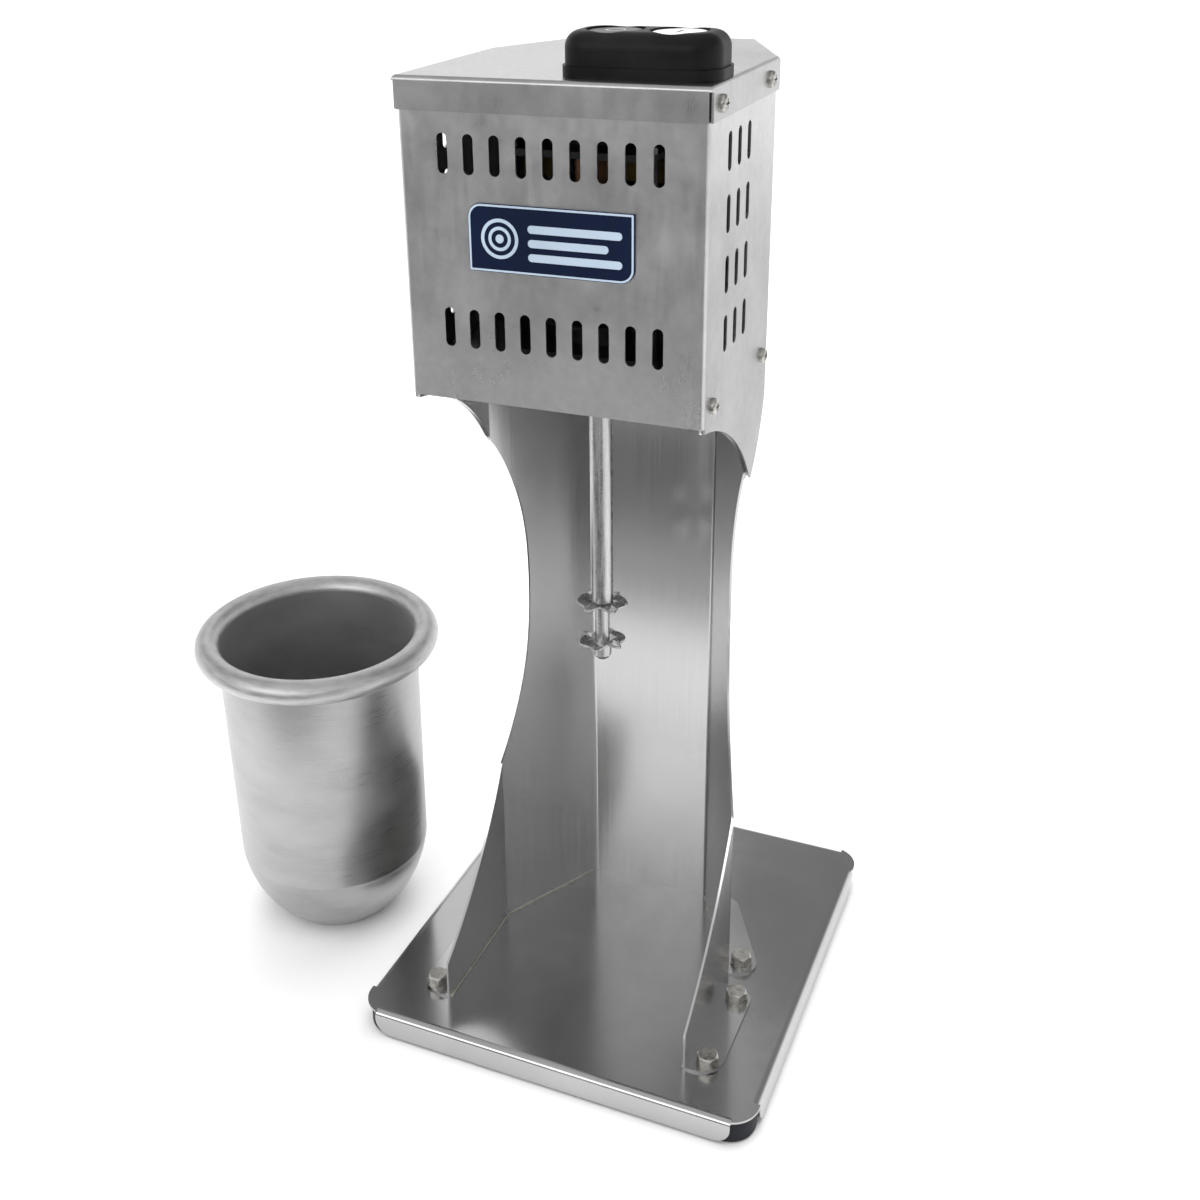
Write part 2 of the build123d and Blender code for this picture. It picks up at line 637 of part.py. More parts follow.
def make_switch_boot():
    """Moulded rubber boot with a round well for each button."""
    boot = rounded_block(SWITCH_LENGTH, SWITCH_DEPTH, SWITCH_SEAM_Z, SWITCH_TOP, SWITCH_CORNER_R)
    boot = fillet(boot.edges().group_by(Axis.Z)[-1], BOOT_TOP_R)
    boot -= rounded_block(SWITCH_LENGTH - 5, SWITCH_DEPTH - 5, 504.0, 513.0, SWITCH_CORNER_R - 2.5)
    for side in SIDES:
        boot -= post(button_x(side), 0, BUTTON_R + 0.6, 510, 520)
    return at_switch(boot)


def make_switch_block():
    """Switch body: a flange seated inside the boot and a block that passes down through the lid."""
    body = block((-24, 24), (-9, 9), (481.0, SWITCH_SEAM_Z))
    body += rounded_block(58, 24, SWITCH_SEAM_Z, 507.0, 8.0)
    for side in SIDES:
        body -= post(button_x(side), 0, 4.2, 495.0, 508.0)
    return at_switch(body)


def make_switch_terminals():
    return [at_switch(block((x - 0.4, x + 0.4), (-3, 3), (475.0, 481.0))) for x in (-18, -9, 9, 18)]


def make_button(side):
    """Push-button: a shallow domed cap on a stem that slides in the switch body."""
    cap = post(0, 0, BUTTON_R, *BUTTON_CAP_Z)
    cap = fillet(cap.edges().group_by(Axis.Z)[-1], 1.2)
    stem = post(0, 0, STEM_R, STEM_BOTTOM, BUTTON_CAP_Z[0])
    return at_switch(Pos(button_x(side), 0, 0) * (cap + stem))


def helix_tube(coil_r, wire_r, height, turns):
    path = Helix(pitch=(height - 2 * wire_r) / turns, height=height - 2 * wire_r, radius=coil_r)
    section = Plane(origin=path @ 0, z_dir=path % 0) * Circle(wire_r)
    return Pos(0, 0, wire_r) * sweep(section, path=path, is_frenet=True)


def make_button_spring(side):
    """Coil spring between the bottom of the well and the stem."""
    spring = helix_tube(SPRING_COIL_R, SPRING_WIRE_R, SPRING_HEIGHT, SPRING_TURNS)
    return at_switch(Pos(button_x(side), 0, STEM_BOTTOM - SPRING_HEIGHT - 0.05) * spring)


# ---------------------------------------------------------------- motor

def at_motor(shape):
    return Pos(0, SPINDLE_Y, 0) * shape


def motor_corner_places():
    return [(x * MOTOR_BOLT_X, y * MOTOR_BOLT_Y) for x in SIDES for y in SIDES]


def make_motor_plate():
    """Shelf across the top of the column, with side flanges screwed to the wings."""
    inside = plan_inset(mirrored_plan([
        (COLUMN_HALF_WIDTH, HEAD_FRONT_Y + 3.0),
        (COLUMN_HALF_WIDTH, COLUMN_FOLD_Y),
        (COLUMN_BACK_HALF_WIDTH, COLUMN_BACK_Y),
    ]), SHEET + FIT_GAP)
    plate = Pos(0, 0, MOTOR_PLATE_Z - MOTOR_PLATE_THICKNESS) * extrude(inside, MOTOR_PLATE_THICKNESS)
    flange_x = COLUMN_HALF_WIDTH - SHEET - FIT_GAP
    for side in SIDES:
        span = sorted((side * flange_x, side * (flange_x - MOTOR_PLATE_THICKNESS)))
        plate += block(span, (HEAD_FRONT_Y + 4.8, COLUMN_FOLD_Y - 4), (361.0, MOTOR_PLATE_Z))
    plate -= post(0, SPINDLE_Y, 12.0, 300, 400)
    for x, y in motor_corner_places():
        plate -= post(x, SPINDLE_Y + y, MOTOR_BOLT_R + 0.2, 300, 400)
    for place in side_screw_places()[0::2]:
        plate -= cross_pin(*place, SIDE_SCREW_R + SCREW_CLEARANCE, 12)
    return plate


def motor_outline(z_low, z_high):
    return rounded_block(STATOR_WIDTH, STATOR_DEPTH, z_low, z_high, 6.0)


def motor_bolt_holes(shape):
    for x, y in motor_corner_places():
        shape -= post(x, y, MOTOR_BOLT_R + 0.1, 300, 500)
    return shape


def make_lower_bracket():
    bracket = motor_outline(MOTOR_PLATE_Z, MOTOR_PLATE_Z + 3.5) + post(0, 0, 14.5, MOTOR_PLATE_Z, 387.0)
    for x, y in motor_corner_places():
        bracket += post(x, y, 4.0, MOTOR_PLATE_Z + 3.5, STATOR_BOTTOM)
    bracket -= post(0, 0, BEARING_R, LOWER_BEARING_Z, 390.0)
    bracket -= post(0, 0, 8.5, 370.0, 380.0)
    return at_motor(motor_bolt_holes(bracket))


def make_upper_bracket():
    bracket = motor_outline(UPPER_BRACKET_Z, UPPER_BRACKET_Z + 3) + post(0, 0, 14.5, UPPER_BRACKET_Z, 476.0)
    for x, y in motor_corner_places():
        bracket += post(x, y, 4.0, STATOR_TOP, UPPER_BRACKET_Z)
    bracket -= post(0, 0, BEARING_R, 460.0, 475.0)
    for x in SIDES:
        bracket -= block(sorted((x * 17, x * 26)), (-12, 12), (460, 470))
    return at_motor(motor_bolt_holes(bracket))


def make_bearing(z_low):
    """Ball bearing, drawn as one ring with a groove between its races on each face."""
    z_high = z_low + BEARING_WIDTH
    ring = post(0, 0, BEARING_R, z_low, z_high) - post(0, 0, SHAFT_R + RUNNING_FIT, z_low - 1, z_high + 1)
    for z in (z_low, z_high):
        groove = Pos(0, 0, z) * (Cylinder(9.0, 1.2) - Cylinder(6.0, 2))
        ring -= groove
    return at_motor(ring)


def make_stator_core():
    core = motor_outline(STATOR_BOTTOM, STATOR_TOP) - post(0, 0, BORE_R, 400, 450)
    for side in SIDES:
        core -= block(sorted((side * 19.0, side * 28.2)), (-23.2, 23.2), (400, 450))
    return at_motor(motor_bolt_holes(core))


def make_field_coil(side):
    """One field winding round its pole, bowed clear of the armature."""
    y_span = sorted((side * 3.0, side * 23.0))
    coil = block((-28, 28), y_span, (STATOR_BOTTOM - 6, STATOR_TOP + 6))
    coil = fillet(coil.edges().filter_by(Axis.Y), 5.0)
    pole_span = sorted((side * 2.0, side * 30.0))
    coil -= block((-20.9, 20.9), pole_span, (STATOR_BOTTOM - 0.1, STATOR_TOP + 0.1))
    coil -= post(0, 0, BORE_R + 0.5, 390, 460)
    return at_motor(coil)


def make_motor_bolts():
    shank = UPPER_BRACKET_Z + 3 - 367.0
    bolt = hex_bolt(7.0, 2.8, MOTOR_BOLT_R, shank)
    return [Pos(x, SPINDLE_Y + y, UPPER_BRACKET_Z + 3) * bolt for x, y in motor_corner_places()]


def make_nuts(places, across_flats, height, bore_r, z_low):
    nut = extrude(RegularPolygon(across_flats / 2, 6, major_radius=False), height)
    nut -= post(0, 0, bore_r, -1, height + 1)
    return [Pos(x, y, z_low) * nut for x, y in places]


def make_motor_nuts():
    height = 3.2
    places = [(x, SPINDLE_Y + y) for x, y in motor_corner_places()]
    return make_nuts(places, 7.0, height, MOTOR_BOLT_R, MOTOR_PLATE_Z - MOTOR_PLATE_THICKNESS - height)


def make_brush_holder(side):
    """Square brass tube hung from the upper bracket, pointing at the commutator."""
    tube = block(sorted((side * 14, side * 34)), (-5, 5), (451.0, 460.5))
    tube += block(sorted((side * 27, side * 34)), (-5, 5), (460.5, UPPER_BRACKET_Z))
    tube -= block(sorted((side * 13, side * 35)), (-3.2, 3.2), (452.5, 459.0))
    return at_motor(tube)


def make_brush(side):
    return at_motor(block(sorted((side * 11.35, side * 29)), (-3.1, 3.1), (452.6, 458.9)))


def make_terminal_block():
    """Connector strip behind the motor, with a screw well over each pole."""
    strip = block((4, 36), (14, 26), (MOTOR_PLATE_Z, MOTOR_PLATE_Z + 10))
    for x in (9, 16.5, 24, 31.5):
        strip -= post(x, 20, 2.0, MOTOR_PLATE_Z + 4, MOTOR_PLATE_Z + 11)
    return strip


def make_capacitor():
    can = post(-24, 20, 9.0, MOTOR_PLATE_Z, MOTOR_PLATE_Z + 34)
    can = fillet(can.edges().group_by(Axis.Z)[-1], 1.5)
    for x in (-27, -21):
        can += post(x, 20, 0.6, MOTOR_PLATE_Z + 33, MOTOR_PLATE_Z + 39)
    return can


# ---------------------------------------------------------------- spindle

def make_motor_shaft():
    return at_motor(post(0, 0, SHAFT_R, SHAFT_JOIN_Z, MOTOR_SHAFT_TOP))


def make_armature_core():
    core = post(0, 0, ARMATURE_R, STATOR_BOTTOM, STATOR_TOP) - post(0, 0, SHAFT_R, 400, 450)
    slot = block((ARMATURE_R - 4, ARMATURE_R + 0.5), (-1.1, 1.1), (400, 450))
    for number in range(ARMATURE_SLOTS):
        core -= Rot(0, 0, number * 360 / ARMATURE_SLOTS) * slot
    return at_motor(core)


def make_armature_windings():
    lower = post(0, 0, WINDING_R, STATOR_BOTTOM - 6.5, STATOR_BOTTOM)
    lower = fillet(lower.edges().group_by(Axis.Z)[0], 3.0) - post(0, 0, SHAFT_R, 390, 450)
    upper = post(0, 0, WINDING_R, STATOR_TOP, STATOR_TOP + 6.5)
    upper = fillet(upper.edges().group_by(Axis.Z)[-1], 3.0) - post(0, 0, SHAFT_R, 390, 450)
    return [at_motor(lower), at_motor(upper)]


def make_commutator():
    return at_motor(post(0, 0, COMMUTATOR_R, *COMMUTATOR_Z) - post(0, 0, SHAFT_R, 440, 470))


def make_cooling_fan():
    low_z, high_z = FAN_Z
    fan = post(0, 0, FAN_R, low_z, low_z + 1.5) + post(0, 0, 8.0, low_z, high_z)
    blade = block((7.5, FAN_R), (-0.7, 0.7), (low_z + 1, high_z))
    for number in range(FAN_BLADES):
        fan += Rot(0, 0, number * 360 / FAN_BLADES) * blade
    fan -= post(0, 0, SHAFT_R, 380, 400)
    return at_motor(fan)


def make_shaft_coupling():
    """Sleeve that joins the motor shaft to the agitator shaft, with a set screw for each."""
    low_z, high_z = COUPLING_Z
    sleeve = post(0, 0, COUPLING_R, low_z, high_z)
    sleeve = chamfer(sleeve.edges().group_by(Axis.Z)[0], 1.0)
    sleeve -= post(0, 0, SHAFT_R, SHAFT_JOIN_Z, high_z + 1)
    sleeve -= post(0, 0, AGITATOR_SHAFT_R, low_z - 1, SHAFT_JOIN_Z)
    for z in (low_z + 6, high_z - 6):
        sleeve -= Pos(0, -7, z) * Rot(90, 0, 0) * Cylinder(SET_SCREW_R, 10)
    return at_motor(sleeve)


def make_coupling_screws():
    screws = []
    low_z, high_z = COUPLING_Z
    for z, shaft_r in ((low_z + 6, AGITATOR_SHAFT_R), (high_z - 6, SHAFT_R)):
        length = COUPLING_R + 0.2 - shaft_r
        centre_y = -(shaft_r + length / 2)
        screws.append(at_motor(Pos(0, centre_y, z) * Rot(90, 0, 0) * Cylinder(SET_SCREW_R, length)))
    return screws


def make_agitator_shaft():
    shaft = post(0, 0, AGITATOR_SHAFT_R, AGITATOR_SHAFT_BOTTOM, SHAFT_JOIN_Z)
    shaft = chamfer(shaft.edges().group_by(Axis.Z)[0], 0.6)
    return at_motor(shaft - post(0, 0, CLAMP_SCREW_R, 230, 262))


def make_agitator_disc(z_low, start_turn):
    """Six-lobed agitator disc, its lobes bent up and down in turn."""
    disc = post(0, 0, 9.6, z_low, z_low + DISC_THICKNESS)
    for lobe in range(6):
        lift = 1.1 if lobe % 2 else -0.5
        middle_z = z_low + (DISC_THICKNESS + lift) / 2
        arm = Pos(9.4, 0, middle_z) * Rot(0, -math.degrees(math.atan2(lift, 5)), 0)
        wing = arm * extrude(Ellipse(3.7, 3.6), 0.75, both=True)
        disc += Rot(0, 0, start_turn + lobe * 60) * wing
    return at_motor(disc - post(0, 0, CLAMP_SCREW_R, 200, 260))


def make_disc_spacer():
    z_low = LOWER_DISC_Z + DISC_THICKNESS + 1.0
    return at_motor(post(0, 0, 3.7, z_low, UPPER_DISC_Z) - post(0, 0, CLAMP_SCREW_R, 200, 260))


def make_disc_washer():
    z_low = LOWER_DISC_Z + DISC_THICKNESS
    return at_motor(post(0, 0, 5.5, z_low, z_low + 1.0) - post(0, 0, CLAMP_SCREW_R, 200, 260))


def make_agitator_screw():
    """Domed screw that clamps the discs and spacer up against the shaft."""
    head = post(0, 0, 4.6, TIP_Z + 3.0, LOWER_DISC_Z)
    dome = fillet(post(0, 0, 4.6, TIP_Z, LOWER_DISC_Z).edges().group_by(Axis.Z)[0], 4.3)
    shank = post(0, 0, CLAMP_SCREW_R, LOWER_DISC_Z, 261.0)
    return at_motor(dome + head + shank)


# ---------------------------------------------------------------- cup

def make_cup():
    """Spun aluminium cup: rolled bead rim, nearly straight wall, crease, then a rounded-in bottom."""
    wall = CUP_WALL
    top_z = CUP_HEIGHT - CUP_BEAD_R
    shoulder_r, shoulder_z = CUP_SHOULDER
    turn_r, turn_z = CUP_TURN_IN
    outer = [
        Line((0, 0), (CUP_BOTTOM_R, 0)),
        ThreePointArc((CUP_BOTTOM_R, 0), CUP_TURN_IN, CUP_SHOULDER),
        Line(CUP_SHOULDER, (CUP_TOP_R, top_z)),
        Line((CUP_TOP_R, top_z), (CUP_TOP_R - wall, top_z)),
    ]
    inner_shoulder = (shoulder_r - wall, shoulder_z)
    inner_bottom = (CUP_BOTTOM_R - 0.4 * wall, wall)
    inner = [
        Line((CUP_TOP_R - wall, top_z), inner_shoulder),
        ThreePointArc(inner_shoulder, (turn_r - 0.9 * wall, turn_z + 0.4 * wall), inner_bottom),
        Line(inner_bottom, (0, wall)),
        Line((0, wall), (0, 0)),
    ]
    profile = make_face(Wire(outer + inner))
    bead = Pos(CUP_TOP_R - wall + CUP_BEAD_R, top_z) * Circle(CUP_BEAD_R)
    shell = revolve(Plane.XZ * profile, Axis.Z)
    rim = revolve(Plane.XZ * bead, Axis.Z)
    return Pos(CUP_X, CUP_Y, 0) * (shell + rim)


# ---------------------------------------------------------------- sub-parts

os.makedirs("parts", exist_ok=True)
save("base_plate", make_base_plate())
for corner_name, side_x, side_y in (
    ("front_left", -1, -1),
    ("front_right", 1, -1),
    ("rear_left", -1, 1),
    ("rear_right", 1, 1),
):
    save("foot_" + corner_name, make_foot(side_x, side_y))
save("column_sheet", make_column())
save("column_bolts", make_column_bolts())
save("column_washers", make_column_washers())
save("column_nuts", make_column_nuts())
save("head_cover", make_head_cover())
save("head_rear_panel", make_head_rear_panel())
save("side_screws", make_side_screws(side_screw_places(), 7.0))
save("lid", make_lid())
save("lid_screws", make_side_screws(lid_screw_places(), 6.0))
save("badge_plate", make_badge())
save("rating_plate", make_rating_plate())
save("cable_gland", make_cable_gland())
save("gland_nut", make_gland_nut())
save("switch_gasket", make_switch_gasket())
save("switch_boot", make_switch_boot())
save("switch_block", make_switch_block())
save("switch_terminals", make_switch_terminals())
save("stop_button", make_button(-1))
save("start_button", make_button(1))
save("stop_spring", make_button_spring(-1))
save("start_spring", make_button_spring(1))
save("motor_plate", make_motor_plate())
save("lower_bracket", make_lower_bracket())
save("upper_bracket", make_upper_bracket())
save("lower_bearing", make_bearing(LOWER_BEARING_Z))
save("upper_bearing", make_bearing(UPPER_BEARING_Z))
save("stator_core", make_stator_core())
save("front_field_coil", make_field_coil(-1))
save("rear_field_coil", make_field_coil(1))
save("motor_bolts", make_motor_bolts())
save("motor_nuts", make_motor_nuts())
for side_name, side in (("left", -1), ("right", 1)):
    save(side_name + "_brush_holder", make_brush_holder(side))
    save(side_name + "_brush", make_brush(side))
save("terminal_block", make_terminal_block())
save("suppression_capacitor", make_capacitor())
save("motor_shaft", make_motor_shaft())
save("armature_core", make_armature_core())
save("armature_windings", make_armature_windings())
save("commutator", make_commutator())
save("cooling_fan", make_cooling_fan())
save("shaft_coupling", make_shaft_coupling())
save("coupling_screws", make_coupling_screws())
save("agitator_shaft", make_agitator_shaft())
save("upper_agitator_disc", make_agitator_disc(UPPER_DISC_Z, 10.0))
save("disc_spacer", make_disc_spacer())
save("disc_washer", make_disc_washer())
save("lower_agitator_disc", make_agitator_disc(LOWER_DISC_Z, 34.0))
save("agitator_screw", make_agitator_screw())
save("cup", make_cup())
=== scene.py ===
import json
import math

import bmesh
import bpy
from mathutils import Matrix, Vector


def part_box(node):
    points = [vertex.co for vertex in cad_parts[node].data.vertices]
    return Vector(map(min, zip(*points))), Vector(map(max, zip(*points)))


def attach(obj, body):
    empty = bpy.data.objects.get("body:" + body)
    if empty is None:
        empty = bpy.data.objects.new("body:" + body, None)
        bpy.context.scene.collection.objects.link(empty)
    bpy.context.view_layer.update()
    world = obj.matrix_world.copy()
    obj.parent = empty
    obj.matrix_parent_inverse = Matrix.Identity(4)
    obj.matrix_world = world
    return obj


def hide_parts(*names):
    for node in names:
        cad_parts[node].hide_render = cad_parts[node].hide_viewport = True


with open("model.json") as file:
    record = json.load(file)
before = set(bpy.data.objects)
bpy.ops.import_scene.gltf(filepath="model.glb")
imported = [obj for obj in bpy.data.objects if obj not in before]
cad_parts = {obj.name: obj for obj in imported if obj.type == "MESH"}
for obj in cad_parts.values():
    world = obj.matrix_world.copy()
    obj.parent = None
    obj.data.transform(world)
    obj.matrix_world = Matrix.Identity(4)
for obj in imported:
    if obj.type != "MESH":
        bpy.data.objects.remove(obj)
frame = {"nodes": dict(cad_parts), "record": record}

MM = 0.001
FRONT = -1.0                        # the mixer's open front faces -Y

# Camera: metres, degrees, and millimetres for its sensor and lens
CAMERA_PLACE = Vector((0.2441, -0.6385, 0.5817))
CAMERA_TURN = 24.488                # from +Y towards -X
CAMERA_DROP = 23.034                # how far it looks down
CAMERA_ROLL = -1.419
CAMERA_SENSOR = 36.0
CAMERA_LENS = 44.343
CAMERA_SHIFT = (0.05, -0.0958333)
CAMERA_CLIP = (0.01, 100.0)

# Surround: sine of a direction's elevation, and the brightness there
FRONT_STOPS = ((-1.0, 0.1), (0.0, 0.10), (0.15, 0.22), (0.35, 0.9), (0.6, 0.7), (1.0, 0.7))
REAR_STOPS = (
    (-1.0, 0.3), (0.0, 1.3), (0.10, 1.45), (0.28, 0.85),
    (0.50, 0.30), (0.72, 0.30), (0.9, 0.6), (1.0, 0.7),
)
REAR_BLEND = (-0.35, 0.25)          # the Y of a direction, from all front to all rear

# Lights: name, place, what it aims at, size, watts, and whether metal mirrors it
LIGHTS = (
    ("background", (0.0, 5.0, 6.0), (0.0, 4.0, 0.0), (9.0, 8.0), 480.0, False),
    ("floor", (0.0, -0.5, 2.2), (0.0, -0.1, 0.0), (2.0, 2.0), 28.0, False),
    ("front_box", (-0.6, -2.2, 1.1), (0.0, 0.0, 0.2), (2.2, 0.9), 13.0, True),
    ("rear_left_box", (-0.9, 1.25, 1.35), (0.0, 0.0, 0.1), (1.1, 0.8), 2.2, True),
)

# Floor, and the cloths on it that only the metal sees: low corner, high corner, tone
FLOOR_REACH = 16.0
FLOOR_TONE = 0.95
CLOTH_LIFT = 0.5 * MM
CLOTHS = (
    ((-1.2, -0.46), (0.5, -0.30), 0.30),
    ((-1.2, -0.60), (0.5, -0.46), 0.12),
    ((-1.2, -0.84), (0.5, -0.60), 0.01),
    ((-1.8, -3.2), (1.2, -1.07), 0.04),
    ((0.2, 0.40), (1.4, 2.2), 0.55),
)

# Cup, as shares of its height from here on: (radius, height) of the wall's outside
CUP_HEIGHT = 185.2                  # the drawing's height in mm, which the shares come from
CUP_BEAD_R = 6.8 / CUP_HEIGHT
CUP_WALL = 1.5 / CUP_HEIGHT
CUP_FOOT = (29.5 / CUP_HEIGHT, 31.0 / CUP_HEIGHT, 0.4 / CUP_HEIGHT)     # flat, edge, edge's rise
CUP_ROUND = (46.9 / CUP_HEIGHT, 20.2 / CUP_HEIGHT)
CUP_INNER_FOOT_R = 30.0 / CUP_HEIGHT
CUP_INNER_ROUND = (45.6 / CUP_HEIGHT, 20.8 / CUP_HEIGHT)
CUP_SHOULDER = (54.8 / CUP_HEIGHT, 44.8 / CUP_HEIGHT)
CUP_CREASE = ((0.12 / CUP_HEIGHT, 0.35 / CUP_HEIGHT), (0.02 / CUP_HEIGHT, 0.35 / CUP_HEIGHT))
CUP_PIN_R = 0.6 * MM                # the small flat in the middle of the bottom
CUP_WALL_STEPS = 28
TURNS = 160                         # points round the cup

# Agitator discs
DISC_TURNS = {"upper_agitator_disc": 14.0, "lower_agitator_disc": 38.0}
DISC_HUB_R = 2.6 * MM
DISC_LOBES = 6
DISC_LOBE = 1.5 * MM
DISC_WAVE = 1.25 * MM
DISC_CURL = 0.36 * MM
DISC_HALF = 0.55 * MM
DISC_POINTS = 144
DISC_RINGS = (0.0, 0.2, 0.4, 0.5, 0.6, 0.7, 0.78, 0.86, 0.93, 0.98)

# Badge
BADGE_RISE = 0.12 * MM
BADGE_EDGE = 0.25 * MM
BADGE_LINE = 1.1 * MM
BADGE_OUTER_R = (5.8 * MM, 0.4 * MM, 5.8 * MM, 0.4 * MM)
BADGE_INNER_R = (5.0 * MM, 0.3 * MM, 5.0 * MM, 0.3 * MM)
BADGE_SPOT = 14.5 * MM              # the rings' centre, from the plate's left edge
BADGE_RINGS = ((8.6 * MM, 1.5 * MM), (5.2 * MM, 1.4 * MM))
BADGE_DOT_R = 1.9 * MM
BADGE_BARS_X = 27.5 * MM
BADGE_BARS = ((5.0 * MM, 42.0 * MM), (-1.0 * MM, 36.0 * MM), (-7.0 * MM, 42.0 * MM))
BADGE_BAR = (3.4 * MM, 1.6 * MM)    # height and corner radius

# Button marks
MARK_RISE = 0.15 * MM
MARK_BAR = (1.1 * MM, 7.5 * MM, 0.5 * MM)
MARK_RING = (4.2 * MM, 3.3 * MM)

# Column, where its inside meets the base
COLUMN_SHEET = 1.2 * MM
COLUMN_WING_X = 67.3 * MM
COLUMN_FOLD_Y = -17.5 * MM
COLUMN_BACK_X = 34.8 * MM
SEAM_R = 0.55 * MM
SEAM_INSET = 0.35 * MM
SEAM_RIPPLE = (0.08 * MM, 900.0)    # height, and radians for each metre along
SEAM_STEPS = 24

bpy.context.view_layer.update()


def corners(node):
    """Lowest and highest corner of a CAD node, and its centre."""
    low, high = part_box(node)
    return low, high, (low + high) / 2


# ------------------------------------------------------------------ camera, floor and light

def make_camera():
    turn, drop, roll = (math.radians(angle) for angle in (CAMERA_TURN, CAMERA_DROP, CAMERA_ROLL))
    level = Vector((-math.sin(turn), math.cos(turn), 0))
    forward = math.cos(drop) * level - math.sin(drop) * Vector((0, 0, 1))
    right = Vector((math.cos(turn), math.sin(turn), 0))
    up = right.cross(forward)
    rolled_right = math.cos(roll) * right + math.sin(roll) * up
    rolled_up = -math.sin(roll) * right + math.cos(roll) * up
    data = bpy.data.cameras.new("camera")
    data.sensor_width = CAMERA_SENSOR
    data.lens = CAMERA_LENS
    data.shift_x, data.shift_y = CAMERA_SHIFT
    data.clip_start, data.clip_end = CAMERA_CLIP
    camera = bpy.data.objects.new("camera", data)
    axes = Matrix((rolled_right, rolled_up, -forward)).transposed().to_4x4()
    camera.matrix_world = Matrix.Translation(CAMERA_PLACE) @ axes
    bpy.context.scene.collection.objects.link(camera)
    bpy.context.scene.camera = camera


def area_light(name, place, aim, size, power, mirrored):
    """A soft box that faces what it aims at."""
    data = bpy.data.lights.new(name, "AREA")
    data.shape = "RECTANGLE"
    data.size, data.size_y = size
    data.energy = power
    light = bpy.data.objects.new(name, data)
    light.location = place
    direction = Vector(aim) - Vector(place)
    light.rotation_euler = direction.to_track_quat("-Z", "Y").to_euler()
    light.visible_glossy = mirrored
    bpy.context.scene.collection.objects.link(light)


def height_ramp(tree, height, stops):
    """A grey that follows the sine of the direction's elevation."""
    ramp = tree.nodes.new("ShaderNodeValToRGB")
    while len(ramp.color_ramp.elements) < len(stops):
        ramp.color_ramp.elements.new(0.5)
    for element, (sine, level) in zip(ramp.color_ramp.elements, stops):
        element.position = (sine + 1) / 2
        element.color = (level, level, level, 1)
    tree.links.new(height, ramp.inputs["Fac"])
    return ramp.outputs["Color"]


def make_world():
    """A studio: bright low down behind the mixer, dim low down in front, dimmer above."""
    world = bpy.data.worlds.new("studio")
    world.use_nodes = True
    tree = world.node_tree
    coords = tree.nodes.new("ShaderNodeTexCoord")
    split = tree.nodes.new("ShaderNodeSeparateXYZ")
    tree.links.new(coords.outputs["Generated"], split.inputs["Vector"])
    height = tree.nodes.new("ShaderNodeMapRange")
    height.inputs["From Min"].default_value = -1.0
    tree.links.new(split.outputs["Z"], height.inputs["Value"])
    rearward = tree.nodes.new("ShaderNodeMapRange")
    rearward.inputs["From Min"].default_value, rearward.inputs["From Max"].default_value = REAR_BLEND
    tree.links.new(split.outputs["Y"], rearward.inputs["Value"])
    blend = tree.nodes.new("ShaderNodeMix")
    blend.data_type = "RGBA"
    tree.links.new(rearward.outputs["Result"], blend.inputs["Factor"])
    tree.links.new(height_ramp(tree, height.outputs["Result"], FRONT_STOPS), blend.inputs[6])
    tree.links.new(height_ramp(tree, height.outputs["Result"], REAR_STOPS), blend.inputs[7])
    tree.links.new(blend.outputs[2], tree.nodes["Background"].inputs["Color"])
    bpy.context.scene.world = world


def plain_stage_sheet(name, low, high, height, tone):
    """A flat sheet of the studio, with its corners at low and high."""
    mesh = bpy.data.meshes.new(name)
    (x0, y0), (x1, y1) = low, high
    points = [(x, y, height) for x, y in ((x0, y0), (x1, y0), (x1, y1), (x0, y1))]
    mesh.from_pydata(points, [], [(0, 1, 2, 3)])
    sheet = bpy.data.objects.new(name, mesh)
    bpy.context.scene.collection.objects.link(sheet)
    material = bpy.data.materials.new(name)
    material.use_nodes = True
    shader = material.node_tree.nodes["Principled BSDF"]
    shader.inputs["Base Color"].default_value = (tone, tone, tone, 1)
    shader.inputs["Roughness"].default_value = 0.9
    shader.inputs["Specular IOR Level"].default_value = 0.1
    sheet.data.materials.append(material)
    return sheet


def make_stage():
    """A pale floor, and cloths laid on it that only the metal sees."""
    reach = FLOOR_REACH
    plain_stage_sheet("studio_floor", (-reach, -reach), (reach, reach), 0.0, FLOOR_TONE)
    for number, (low, high, tone) in enumerate(CLOTHS):
        cloth = plain_stage_sheet(f"studio_flag_{number}", low, high, CLOTH_LIFT, tone)
        cloth.visible_camera = False
        cloth.visible_diffuse = False
        cloth.visible_shadow = False


make_camera()
make_world()
make_stage()
for light in LIGHTS:
    area_light(*light)
bpy.context.scene.view_settings.view_transform = "Standard"


# ------------------------------------------------------------------ materials

